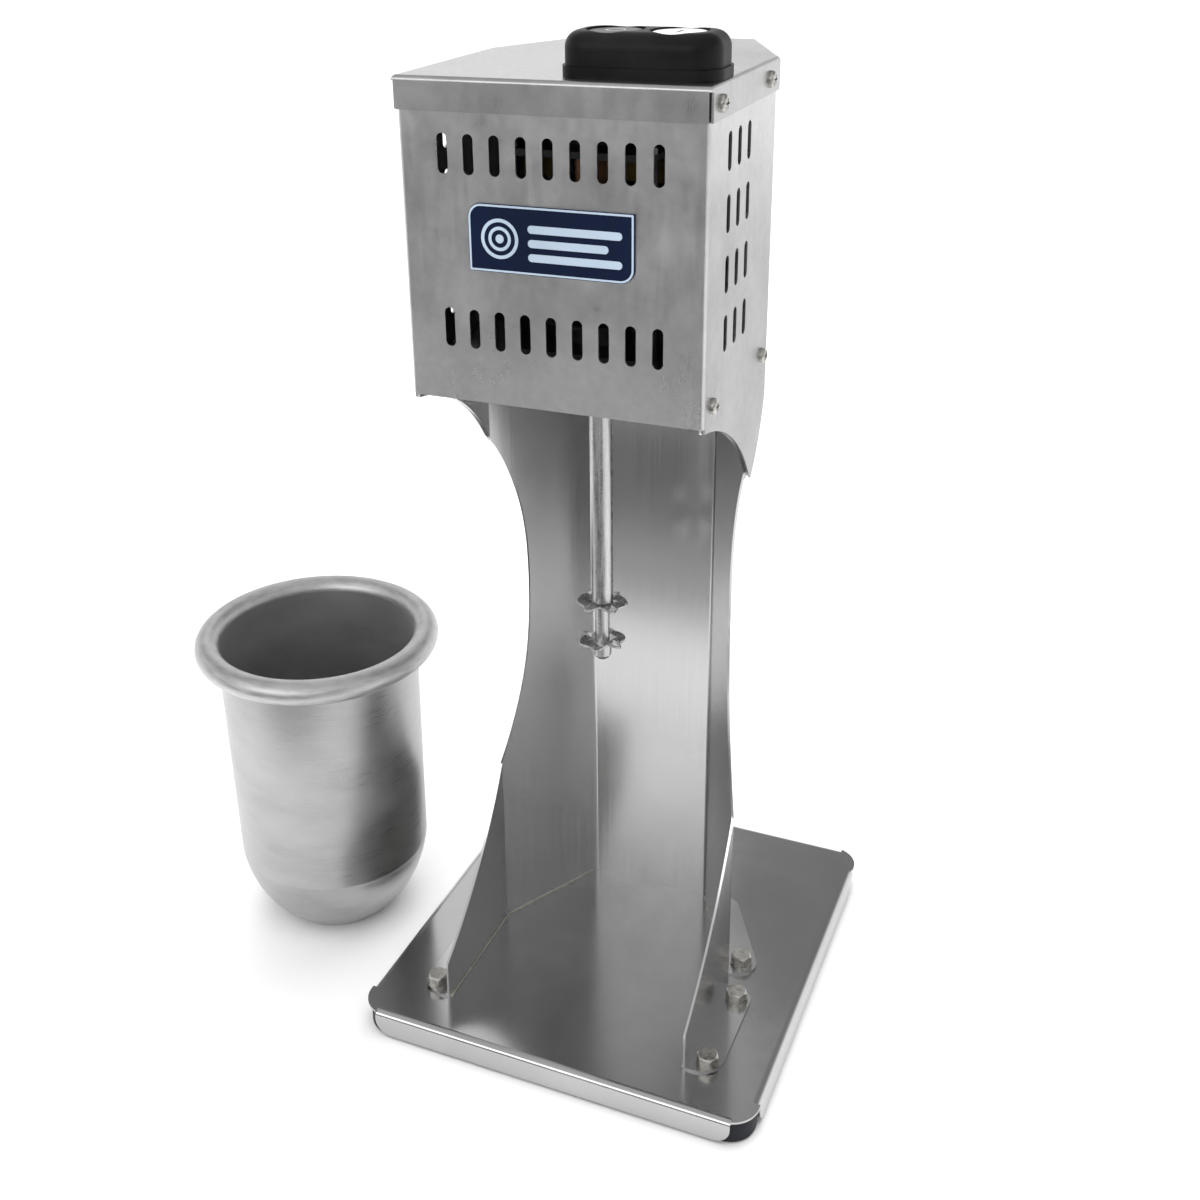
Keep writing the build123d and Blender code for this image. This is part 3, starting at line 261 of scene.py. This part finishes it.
class Surface:
    """A Principled material and the nodes that vary it."""

    def __init__(self, name, colour, metallic=0.0, roughness=0.5):
        self.material = bpy.data.materials.new(name)
        self.material.use_nodes = True
        self.tree = self.material.node_tree
        self.shader = self.tree.nodes["Principled BSDF"]
        self.shader.inputs["Base Color"].default_value = (*colour, 1)
        self.shader.inputs["Metallic"].default_value = metallic
        self.shader.inputs["Roughness"].default_value = roughness
        self.coords = self.tree.nodes.new("ShaderNodeTexCoord").outputs["Object"]
        self.height = None

    def stretch(self, scale):
        mapping = self.tree.nodes.new("ShaderNodeMapping")
        mapping.inputs["Scale"].default_value = scale
        self.tree.links.new(self.coords, mapping.inputs["Vector"])
        return mapping.outputs["Vector"]

    def noise(self, scale, detail=3.0, stretch=(1, 1, 1), rough=0.5, distortion=0.0):
        texture = self.tree.nodes.new("ShaderNodeTexNoise")
        texture.inputs["Scale"].default_value = scale
        texture.inputs["Detail"].default_value = detail
        texture.inputs["Roughness"].default_value = rough
        texture.inputs["Distortion"].default_value = distortion
        self.tree.links.new(self.stretch(stretch), texture.inputs["Vector"])
        return texture.outputs["Fac"]

    def spread(self, source, low, high, start=0.3, end=0.7):
        """Map a 0 to 1 value to low..high."""
        node = self.tree.nodes.new("ShaderNodeMapRange")
        node.inputs["From Min"].default_value = start
        node.inputs["From Max"].default_value = end
        node.inputs["To Min"].default_value = low
        node.inputs["To Max"].default_value = high
        self.tree.links.new(source, node.inputs["Value"])
        return node.outputs["Result"]

    def ramp(self, source, stops):
        node = self.tree.nodes.new("ShaderNodeValToRGB")
        while len(node.color_ramp.elements) < len(stops):
            node.color_ramp.elements.new(0.5)
        for element, (place, colour) in zip(node.color_ramp.elements, stops):
            element.position = place
            element.color = (*colour, 1)
        self.tree.links.new(source, node.inputs["Fac"])
        return node.outputs["Color"]

    def add(self, first, second):
        node = self.tree.nodes.new("ShaderNodeMath")
        node.operation = "ADD"
        self.tree.links.new(first, node.inputs[0])
        self.tree.links.new(second, node.inputs[1])
        return node.outputs["Value"]

    def scaled(self, source, factor):
        node = self.tree.nodes.new("ShaderNodeMath")
        node.operation = "MULTIPLY"
        node.inputs[1].default_value = factor
        self.tree.links.new(source, node.inputs[0])
        return node.outputs["Value"]

    def colour(self, source):
        self.tree.links.new(source, self.shader.inputs["Base Color"])

    def roughness(self, source):
        self.tree.links.new(source, self.shader.inputs["Roughness"])

    def bump(self, source, distance, strength=1.0):
        node = self.tree.nodes.new("ShaderNodeBump")
        node.inputs["Distance"].default_value = distance
        node.inputs["Strength"].default_value = strength
        self.tree.links.new(source, node.inputs["Height"])
        if self.height is not None:
            self.tree.links.new(self.height, node.inputs["Normal"])
        self.height = node.outputs["Normal"]
        self.tree.links.new(self.height, self.shader.inputs["Normal"])

    def set(self, socket, value):
        self.shader.inputs[socket].default_value = value


def grey(value):
    return (value, value, value)


def satin_steel(name, shade):
    """Dull stainless sheet: fine flecks, soft clouds and a faint upright grain."""
    surface = Surface(name, grey(shade), metallic=1.0, roughness=0.3)
    cloud = surface.noise(26.0, detail=5.0, rough=0.65)
    fleck = surface.noise(230.0, detail=3.0, rough=0.6)
    grain = surface.noise(300.0, detail=3.0, stretch=(1, 1, 0.12), rough=0.6)
    mixed = surface.add(surface.scaled(cloud, 0.75), surface.scaled(fleck, 0.25))
    steps = ((0.36, grey(shade * 0.88)), (0.5, grey(shade)), (0.64, grey(shade * 1.12)))
    surface.colour(surface.ramp(mixed, steps))
    surface.roughness(surface.add(surface.spread(cloud, 0.24, 0.33), surface.spread(grain, 0.0, 0.06)))
    surface.bump(grain, 0.00001, 0.12)
    return surface.material


def polished_steel():
    """Bright-rolled stainless sheet: nearly a mirror, with faint rolling lines and smears."""
    surface = Surface("polished_steel", grey(0.42), metallic=1.0, roughness=0.16)
    smear = surface.noise(7.0, detail=5.0, rough=0.62, distortion=0.4)
    line = surface.noise(30.0, detail=3.0, stretch=(30, 30, 1), rough=0.6)
    surface.colour(surface.ramp(smear, ((0.3, grey(0.44)), (0.7, grey(0.52)))))
    surface.roughness(surface.add(surface.spread(smear, 0.10, 0.20), surface.spread(line, 0.0, 0.05)))
    surface.bump(line, 0.00002, 0.25)
    return surface.material


def column_steel():
    """The column's sheet: duller than the base plate, brushed along its height."""
    surface = Surface("column_steel", grey(0.56), metallic=1.0, roughness=0.26)
    smear = surface.noise(6.0, detail=5.0, rough=0.6)
    line = surface.noise(26.0, detail=4.0, stretch=(30, 30, 0.6), rough=0.6)
    surface.colour(surface.ramp(smear, ((0.3, grey(0.53)), (0.7, grey(0.60)))))
    surface.roughness(surface.add(surface.spread(smear, 0.15, 0.21), surface.spread(line, 0.0, 0.04)))
    surface.bump(line, 0.000008, 0.12)
    return surface.material


def plated_steel():
    """Bolt steel, its plating gone dull in patches."""
    surface = Surface("bolt_steel", (0.55, 0.54, 0.50), metallic=1.0, roughness=0.3)
    tarnish = surface.noise(260.0, detail=4.0, rough=0.6)
    surface.colour(surface.ramp(tarnish, ((0.35, (0.36, 0.35, 0.32)), (0.65, (0.62, 0.61, 0.58)))))
    surface.roughness(surface.spread(tarnish, 0.22, 0.42))
    surface.bump(tarnish, 0.00003, 0.3)
    return surface.material


def turned_steel():
    """Turned and pressed steel, with fine lines round it."""
    surface = Surface("machined_steel", grey(0.5), metallic=1.0, roughness=0.25)
    ring = surface.noise(90.0, detail=3.0, stretch=(12, 12, 0.5), rough=0.6)
    fleck = surface.noise(300.0, detail=3.0)
    surface.colour(surface.ramp(ring, ((0.35, grey(0.40)), (0.65, grey(0.56)))))
    surface.roughness(surface.add(surface.spread(ring, 0.20, 0.32), surface.spread(fleck, 0.0, 0.06)))
    surface.bump(ring, 0.00003, 0.35)
    return surface.material


def spun_aluminium(name, low, high, roughness):
    """Spun metal: fine rings round the wall, which pull highlights out along its height."""
    surface = Surface(name, grey((low + high) / 2), metallic=1.0, roughness=roughness)
    ring = surface.noise(40.0, detail=5.0, stretch=(0.5, 0.5, 40), rough=0.7)
    patch = surface.noise(22.0, detail=4.0, stretch=(1, 1, 2.2), rough=0.55)
    surface.colour(surface.ramp(patch, ((0.3, grey(low)), (0.7, grey(high)))))
    fine = surface.spread(ring, roughness - 0.05, roughness + 0.06)
    surface.roughness(surface.add(fine, surface.spread(patch, 0, 0.05)))
    surface.bump(ring, 0.00002, 0.4)
    surface.set("Anisotropic", 0.6)
    tangent = surface.tree.nodes.new("ShaderNodeTangent")
    tangent.direction_type = "RADIAL"
    tangent.axis = "Z"
    surface.tree.links.new(tangent.outputs["Tangent"], surface.shader.inputs["Tangent"])
    return surface.material


def rubber(name, colour, roughness):
    """Dull rubber with fine pores and a pale bloom."""
    surface = Surface(name, colour, roughness=roughness)
    surface.set("Specular IOR Level", 0.16)
    pore = surface.noise(900.0, detail=2.0)
    bloom = surface.noise(40.0, detail=4.0, rough=0.6)
    lighter = tuple(min(1.0, c * 1.7 + 0.004) for c in colour)
    surface.colour(surface.ramp(bloom, ((0.35, colour), (0.75, lighter))))
    surface.roughness(surface.spread(bloom, roughness - 0.06, roughness + 0.08))
    surface.bump(pore, 0.00004, 0.3)
    return surface.material


def moulded(name, colour, roughness, specular=0.4):
    """Moulded or painted surface with a fine grain and slow changes of tone."""
    surface = Surface(name, colour, roughness=roughness)
    surface.set("Specular IOR Level", specular)
    texture = surface.noise(600.0, detail=2.0)
    tone = surface.noise(30.0, detail=3.0)
    darker = tuple(c * 0.85 for c in colour)
    surface.colour(surface.ramp(tone, ((0.3, darker), (0.7, colour))))
    surface.roughness(surface.spread(texture, roughness - 0.04, roughness + 0.06))
    surface.bump(texture, 0.00002, 0.25)
    return surface.material


def bare_metal(name, colour, roughness, stretch=(1, 1, 1)):
    """Bare metal with fine marks, drawn out one way by the stretch."""
    surface = Surface(name, colour, metallic=1.0, roughness=roughness)
    texture = surface.noise(180.0, detail=4.0, stretch=stretch, rough=0.6)
    darker = tuple(c * 0.7 for c in colour)
    surface.colour(surface.ramp(texture, ((0.3, darker), (0.7, colour))))
    surface.roughness(surface.spread(texture, roughness - 0.06, roughness + 0.1))
    surface.bump(texture, 0.00004, 0.4)
    return surface.material


MATERIALS = {
    "satin_steel": satin_steel("satin_steel", 0.58),
    "polished_steel": polished_steel(),
    "column_steel": column_steel(),
    "bolt_steel": plated_steel(),
    "machined_steel": turned_steel(),
    "rubber_black": rubber("rubber_black", (0.012, 0.013, 0.018), 0.55),
    "switch_rubber": rubber("switch_rubber", (0.004, 0.004, 0.0045), 0.45),
    "switch_plastic": moulded("switch_plastic", (0.03, 0.03, 0.03), 0.45),
    "button_white": moulded("button_white", (0.80, 0.80, 0.79), 0.3),
    "button_grey": moulded("button_grey", (0.012, 0.012, 0.013), 0.35, specular=0.25),
    "badge_enamel": moulded("badge_enamel", (0.004, 0.010, 0.035), 0.45, specular=0.1),
    "plate_aluminium": bare_metal("plate_aluminium", (0.66, 0.66, 0.67), 0.35, stretch=(1, 1, 14)),
    "gland_nylon": moulded("gland_nylon", (0.02, 0.02, 0.02), 0.4),
    # Painted shade: the cast aluminium, laminations, windings, commutator and brass below are far darker
    # than these metals' own colours, standing for the shade inside the head seen through its slots.
    "cast_aluminium": bare_metal("cast_aluminium", (0.12, 0.12, 0.122), 0.5),
    "lamination_steel": bare_metal("lamination_steel", (0.09, 0.09, 0.10), 0.5, stretch=(1, 1, 16)),
    "copper_winding": bare_metal("copper_winding", (0.045, 0.022, 0.012), 0.5, stretch=(1, 1, 8)),
    "commutator_copper": bare_metal("commutator_copper", (0.30, 0.16, 0.09), 0.35),
    "carbon": moulded("carbon", (0.02, 0.02, 0.02), 0.6),
    "brass": bare_metal("brass", (0.16, 0.115, 0.05), 0.4),
    "fan_nylon": moulded("fan_nylon", (0.03, 0.03, 0.035), 0.5),
    "bearing_steel": bare_metal("bearing_steel", (0.60, 0.60, 0.62), 0.2),
    "spring_steel": bare_metal("spring_steel", (0.55, 0.55, 0.56), 0.25),
    # Painted shade: the capacitor and terminal block are darkened the same way, for the shade inside the
    # head.
    "capacitor_plastic": moulded("capacitor_plastic", (0.05, 0.048, 0.04), 0.4),
    "terminal_plastic": moulded("terminal_plastic", (0.10, 0.098, 0.09), 0.45),
    "cup_aluminium": spun_aluminium("cup_aluminium", 0.37, 0.46, 0.28),
}


# Painted shade: the lid is the same satin steel as the head, given a darker grey so its top and flange
# read shaded.
LID_SHADED_STEEL = satin_steel("lid_shaded_steel", 0.46)
SEAM = bare_metal("seam", (0.80, 0.79, 0.72), 0.5)
# Rim of the cup: a rougher finish than the wall, which is real, and a brighter grey than the wall's,
# which is painted light.
CUP_RIM_FINISH_AND_LIGHT = bare_metal("cup_rim_finish_and_light", grey(0.68), 0.45, stretch=(0.5, 0.5, 4))
# Inside of the cup: a rougher finish than the outside, which is real, and a much brighter grey than the
# outside's, which is painted light lifting the shaded inside.
CUP_INSIDE_FINISH_AND_LIGHT = spun_aluminium("cup_inside_finish_and_light", 0.62, 0.74, 0.55)
BADGE_PALE = moulded("badge_pale", (0.46, 0.56, 0.68), 0.45, specular=0.2)
MARK_DARK = moulded("mark_dark", (0.12, 0.12, 0.12), 0.5)
MARK_PALE = moulded("mark_pale", (0.45, 0.45, 0.45), 0.5)


def finish_cad_nodes():
    """Give each CAD node the material of its slot in the record; the lid gets a darker copy of the satin
    steel, as painted shade.
    """
    for entry in frame["record"]["subparts"]:
        node = frame["nodes"][entry["node"]]
        material = LID_SHADED_STEEL if entry["node"] == "lid" else MATERIALS[entry["material_slot"]]
        node.data.materials.clear()
        node.data.materials.append(material)


finish_cad_nodes()

# ------------------------------------------------------------------ pieces

def add_piece(name, mesh, material, body, smooth=True):
    """Link a finished mesh as a piece that rides on one body of the mixer."""
    piece = bpy.data.objects.new(name, mesh)
    bpy.context.scene.collection.objects.link(piece)
    mesh.materials.append(material)
    for polygon in mesh.polygons:
        polygon.use_smooth = smooth
    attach(piece, body)
    return piece


def ring_mesh(name, rings, closed=False):
    """A skin over rings of points that all have the same count."""
    count = len(rings[0])
    points = [point for ring in rings for point in ring]
    faces = []
    last = len(rings) if closed else len(rings) - 1
    for row in range(last):
        near, far = row * count, ((row + 1) % len(rings)) * count
        for step in range(count):
            after = (step + 1) % count
            faces.append((near + step, near + after, far + after, far + step))
    mesh = bpy.data.meshes.new(name)
    mesh.from_pydata(points, [], faces)
    mesh.update()
    return mesh


def reworked(mesh, change):
    """Hand a mesh to bmesh for one change, and take it back."""
    work = bmesh.new()
    work.from_mesh(mesh)
    change(work)
    work.to_mesh(mesh)
    work.free()
    return mesh


def face_outwards(work):
    bmesh.ops.remove_doubles(work, verts=work.verts, dist=1e-7)
    bmesh.ops.recalc_face_normals(work, faces=work.faces)


def cap_ends(work):
    bmesh.ops.holes_fill(work, edges=work.edges, sides=0)


def arc(centre, radius, start, stop, steps):
    """Points of an arc in (radius, height), angles in degrees."""
    points = []
    for step in range(steps + 1):
        angle = math.radians(start + (stop - start) * step / steps)
        points.append((centre[0] + radius * math.cos(angle), centre[1] + radius * math.sin(angle)))
    return points


def unit_circle(count):
    angles = [2 * math.pi * step / count for step in range(count)]
    return [(math.cos(angle), math.sin(angle)) for angle in angles]


def circle(radius, count):
    return [(radius * c, radius * s) for c, s in unit_circle(count)]


def curve_through(start, middle, end, steps):
    """Points on a smooth curve through three points."""
    points = []
    for step in range(steps + 1):
        t = step / steps
        a, b, c = (1 - t) * (1 - 2 * t), 4 * t * (1 - t), t * (2 * t - 1)
        points.append(tuple(a * p + b * q + c * r for p, q, r in zip(start, middle, end)))
    return points


def lathe(name, profile, centre):
    """Spin a profile of (radius, height) about an upright axis, with both ends capped."""
    rings = []
    for radius, height in profile:
        round_axis = [(centre.x + x, centre.y + y, height) for x, y in circle(radius, TURNS)]
        rings.append(round_axis)
    return reworked(ring_mesh(name, rings), cap_ends)


def cup_wall(bottom, top, steps=CUP_WALL_STEPS):
    """Points up the straight wall, above its lowest point."""
    shares = [step / steps for step in range(1, steps + 1)]
    return [(bottom[0] + (top[0] - bottom[0]) * t, bottom[1] + (top[1] - bottom[1]) * t) for t in shares]


def make_cup():
    """The spun cup, its outside, rim and inside as one closed shell."""
    low, high, centre = corners("cup")
    scale = high.z - low.z

    def sized(pair):
        return pair[0] * scale, pair[1] * scale

    bead_r, wall = CUP_BEAD_R * scale, CUP_WALL * scale
    top = high.z - bead_r
    bead_centre = ((high.x - low.x) / 2 - bead_r, top)
    wall_top = bead_centre[0] - bead_r + wall
    flat_r, foot_r, foot_rise = (share * scale for share in CUP_FOOT)
    shoulder = sized(CUP_SHOULDER)
    below, above = sized(CUP_CREASE[0]), sized(CUP_CREASE[1])
    outside = [(CUP_PIN_R, 0.0), (flat_r, 0.0), (foot_r, foot_rise)]
    outside += curve_through((foot_r, foot_rise), sized(CUP_ROUND), shoulder, 18)[1:-1]
    outside += [(shoulder[0] - below[0], shoulder[1] - below[1]), shoulder]
    outside.append((shoulder[0] + above[0], shoulder[1] + above[1]))
    outside += cup_wall(shoulder, (wall_top, top - 2.2 * MM))
    bead = arc(bead_centre, bead_r, -158, 180, 40)
    inner_shoulder = (shoulder[0] - wall, shoulder[1])
    inside = cup_wall(inner_shoulder, (wall_top - wall, top - 0.5 * MM))[::-1] + [inner_shoulder]
    inner_foot = (CUP_INNER_FOOT_R * scale, wall + foot_rise)
    inside += curve_through(inner_shoulder, sized(CUP_INNER_ROUND), inner_foot, 16)[1:]
    inside.append((CUP_PIN_R, wall))
    mesh = lathe("cup_shell", outside + bead + inside, centre)
    piece = add_piece("cup_shell", mesh, MATERIALS["cup_aluminium"], "cup")
    mesh.materials.append(CUP_RIM_FINISH_AND_LIGHT)
    mesh.materials.append(CUP_INSIDE_FINISH_AND_LIGHT)
    first_bead = len(outside) - 1
    first_inside = first_bead + len(bead) - 1
    for polygon in mesh.polygons:
        row = polygon.index // TURNS
        polygon.material_index = 2 if row >= first_inside else 1 if row >= first_bead else 0
    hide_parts("cup")


def make_wavy_disc(node, start_turn):
    """Agitator disc pressed from sheet: six lobes, its rim waved up and down."""
    low, high, centre = corners(node)
    reach = (high.x - low.x) / 2 - DISC_LOBE - 0.2 * MM - DISC_HUB_R

    def ring(fraction, lift):
        points = []
        for c, s in unit_circle(DISC_POINTS):
            angle = math.atan2(s, c) - start_turn
            lobe = math.cos(DISC_LOBES * angle)
            radius = DISC_HUB_R + (reach + DISC_LOBE * lobe) * fraction
            wave = DISC_WAVE * math.sin(DISC_LOBES / 2 * angle) * max(0.0, fraction - 0.45) / 0.55
            curl = DISC_CURL * max(0.0, fraction - 0.7) / 0.3 * (0.5 + 0.5 * lobe)
            points.append((centre.x + radius * c, centre.y + radius * s, centre.z + wave - curl + lift))
        return points

    top = [ring(fraction, DISC_HALF) for fraction in DISC_RINGS]
    edge = [ring(1.0, DISC_HALF / 2), ring(1.0, -DISC_HALF / 2)]
    bottom = [ring(fraction, -DISC_HALF) for fraction in reversed(DISC_RINGS)]
    name = node + "_pressed"
    mesh = reworked(ring_mesh(name, top + edge + bottom, closed=True), face_outwards)
    piece = add_piece(name, mesh, MATERIALS["machined_steel"], "spindle")
    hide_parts(node)


def outline_points(width, height, radii, steps=8):
    """Points round a rectangle centred on zero; its radii run clockwise from the upper left."""
    points = []
    signs = ((-1, 1, 180, 90), (1, 1, 90, 0), (1, -1, 0, -90), (-1, -1, -90, -180))
    for (sx, sz, start, stop), radius in zip(signs, radii):
        centre = (sx * (width / 2 - radius), sz * (height / 2 - radius))
        points += arc(centre, radius, start, stop, steps)
    return points


def flat_frame(name, outer, inner, centre, front_y, depth):
    """A raised border between two outlines on a face that looks to the front."""
    rows = ((outer, 0.0), (outer, depth * 0.7), (mix_outline(outer, inner, 0.15), depth),
            (mix_outline(outer, inner, 0.85), depth), (inner, depth * 0.7), (inner, 0.0))
    rings = []
    for outline, rise in rows:
        rings.append([(centre[0] + x, front_y + FRONT * rise, centre[1] + z) for x, z in outline])
    return reworked(ring_mesh(name, rings, closed=True), face_outwards)


def mix_outline(first, second, share):
    """Points a share of the way from one outline to another."""
    keep = 1 - share
    return [(a * keep + c * share, b * keep + d * share) for (a, b), (c, d) in zip(first, second)]


def raised_patch(name, outline, centre, front_y, depth):
    """A raised flat shape with a softened edge on a face that looks to the front."""
    mesh = bpy.data.meshes.new(name)
    work = bmesh.new()
    rows = []
    for share, rise in ((1.0, 0.0), (1.0, depth * 0.6), (0.97, depth)):
        rows.append([
            work.verts.new((centre[0] + x * share, front_y + FRONT * rise, centre[1] + z * share))
            for x, z in outline
        ])
    count = len(outline)
    for near, far in zip(rows, rows[1:]):
        for step in range(count):
            after = (step + 1) % count
            work.faces.new((near[step], near[after], far[after], far[step]))
    work.faces.new(rows[-1])
    work.faces.new(rows[0][::-1])
    bmesh.ops.recalc_face_normals(work, faces=work.faces)
    work.to_mesh(mesh)
    work.free()
    return mesh


def make_badge():
    """Pale border and a plain graphic of two rings, a dot and three bars on the navy plate."""
    low, high, centre = corners("badge_plate")
    width, height = high.x - low.x, high.z - low.z
    middle = (centre.x, centre.z)
    spot = (low.x + BADGE_SPOT, centre.z)
    outer = outline_points(width - 2 * BADGE_EDGE, height - 2 * BADGE_EDGE, BADGE_OUTER_R)
    inner = outline_points(width - 2 * BADGE_LINE, height - 2 * BADGE_LINE, BADGE_INNER_R)
    meshes = [flat_frame("badge_border", outer, inner, middle, low.y, BADGE_RISE)]
    for number, (radius, thick) in enumerate(BADGE_RINGS):
        outer, inner = circle(radius, 64), circle(radius - thick, 64)
        meshes.append(flat_frame(f"badge_whirl_{number}", outer, inner, spot, low.y, BADGE_RISE))
    meshes.append(raised_patch("badge_dot", circle(BADGE_DOT_R, 32), spot, low.y, BADGE_RISE))
    for number, (lift, length) in enumerate(BADGE_BARS):
        bar = outline_points(length, BADGE_BAR[0], (BADGE_BAR[1],) * 4, steps=6)
        place = (low.x + BADGE_BARS_X + length / 2, centre.z + lift)
        meshes.append(raised_patch(f"badge_bar_{number}", bar, place, low.y, BADGE_RISE))
    for mesh in meshes:
        add_piece(mesh.name, mesh, BADGE_PALE, "frame", smooth=False)


def make_button_marks():
    """A raised bar on the start button and a raised ring on the stop button."""
    centre, top = corners("start_button")[2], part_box("start_button")[1].z
    width, height, radius = MARK_BAR
    bar = outline_points(width, height, (radius,) * 4, steps=5)
    mesh = raised_patch("start_mark", bar, (centre.x, 0), 0, MARK_RISE)
    lay_flat(mesh, centre.y, top)
    add_piece("start_mark", mesh, MARK_DARK, "start_button", smooth=False)
    centre, top = corners("stop_button")[2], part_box("stop_button")[1].z
    outer, inner = (circle(radius, 48) for radius in MARK_RING)
    mesh = flat_frame("stop_mark", outer, inner, (centre.x, 0), 0, MARK_RISE)
    lay_flat(mesh, centre.y, top)
    add_piece("stop_mark", mesh, MARK_PALE, "stop_button", smooth=False)


def lay_flat(mesh, centre_y, top):
    """Turn a shape that looks to the front so that it looks up, on a level top."""
    for vertex in mesh.vertices:
        x, y, z = vertex.co
        vertex.co = (x, centre_y + z, top - 0.02 * MM + FRONT * y)
    mesh.update()


def swept_bead(name, path, radius, sides=10):
    """A thin bead of metal along a level path of points."""
    upward = Vector((0, 0, 1))
    rings = []
    for number, point in enumerate(path):
        before, after = path[max(0, number - 1)], path[min(len(path) - 1, number + 1)]
        side = (Vector(after) - Vector(before)).cross(upward).normalized()
        rings.append([Vector(point) + radius * (c * side + s * upward) for c, s in unit_circle(sides)])
    mesh = reworked(ring_mesh(name, rings), cap_ends)
    return reworked(mesh, face_outwards)


def make_column_seam():
    """Fine bright seam where the column's inside meets the base."""
    low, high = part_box("column_sheet")
    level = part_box("base_plate")[1].z + SEAM_INSET
    wing_x = COLUMN_WING_X - COLUMN_SHEET - SEAM_INSET
    back_x = COLUMN_BACK_X - 0.6 * COLUMN_SHEET - SEAM_INSET
    back_y = high.y - COLUMN_SHEET - SEAM_INSET
    left_half = [(-wing_x, low.y + 1 * MM), (-wing_x, COLUMN_FOLD_Y), (-back_x, back_y)]
    turns = left_half + [(-x, y) for x, y in reversed(left_half)]
    height, pace = SEAM_RIPPLE
    path = []
    for (x0, y0), (x1, y1) in zip(turns, turns[1:]):
        for step in range(SEAM_STEPS):
            t = step / SEAM_STEPS
            x, y = x0 + (x1 - x0) * t, y0 + (y1 - y0) * t
            path.append((x, y, level + height * math.sin((x + y) * pace)))
    path.append((*turns[-1], level))
    add_piece("column_seam", swept_bead("column_seam", path, SEAM_R), SEAM, "frame")


make_cup()
for disc, turn in DISC_TURNS.items():
    make_wavy_disc(disc, math.radians(turn))
make_badge()
make_button_marks()
make_column_seam()
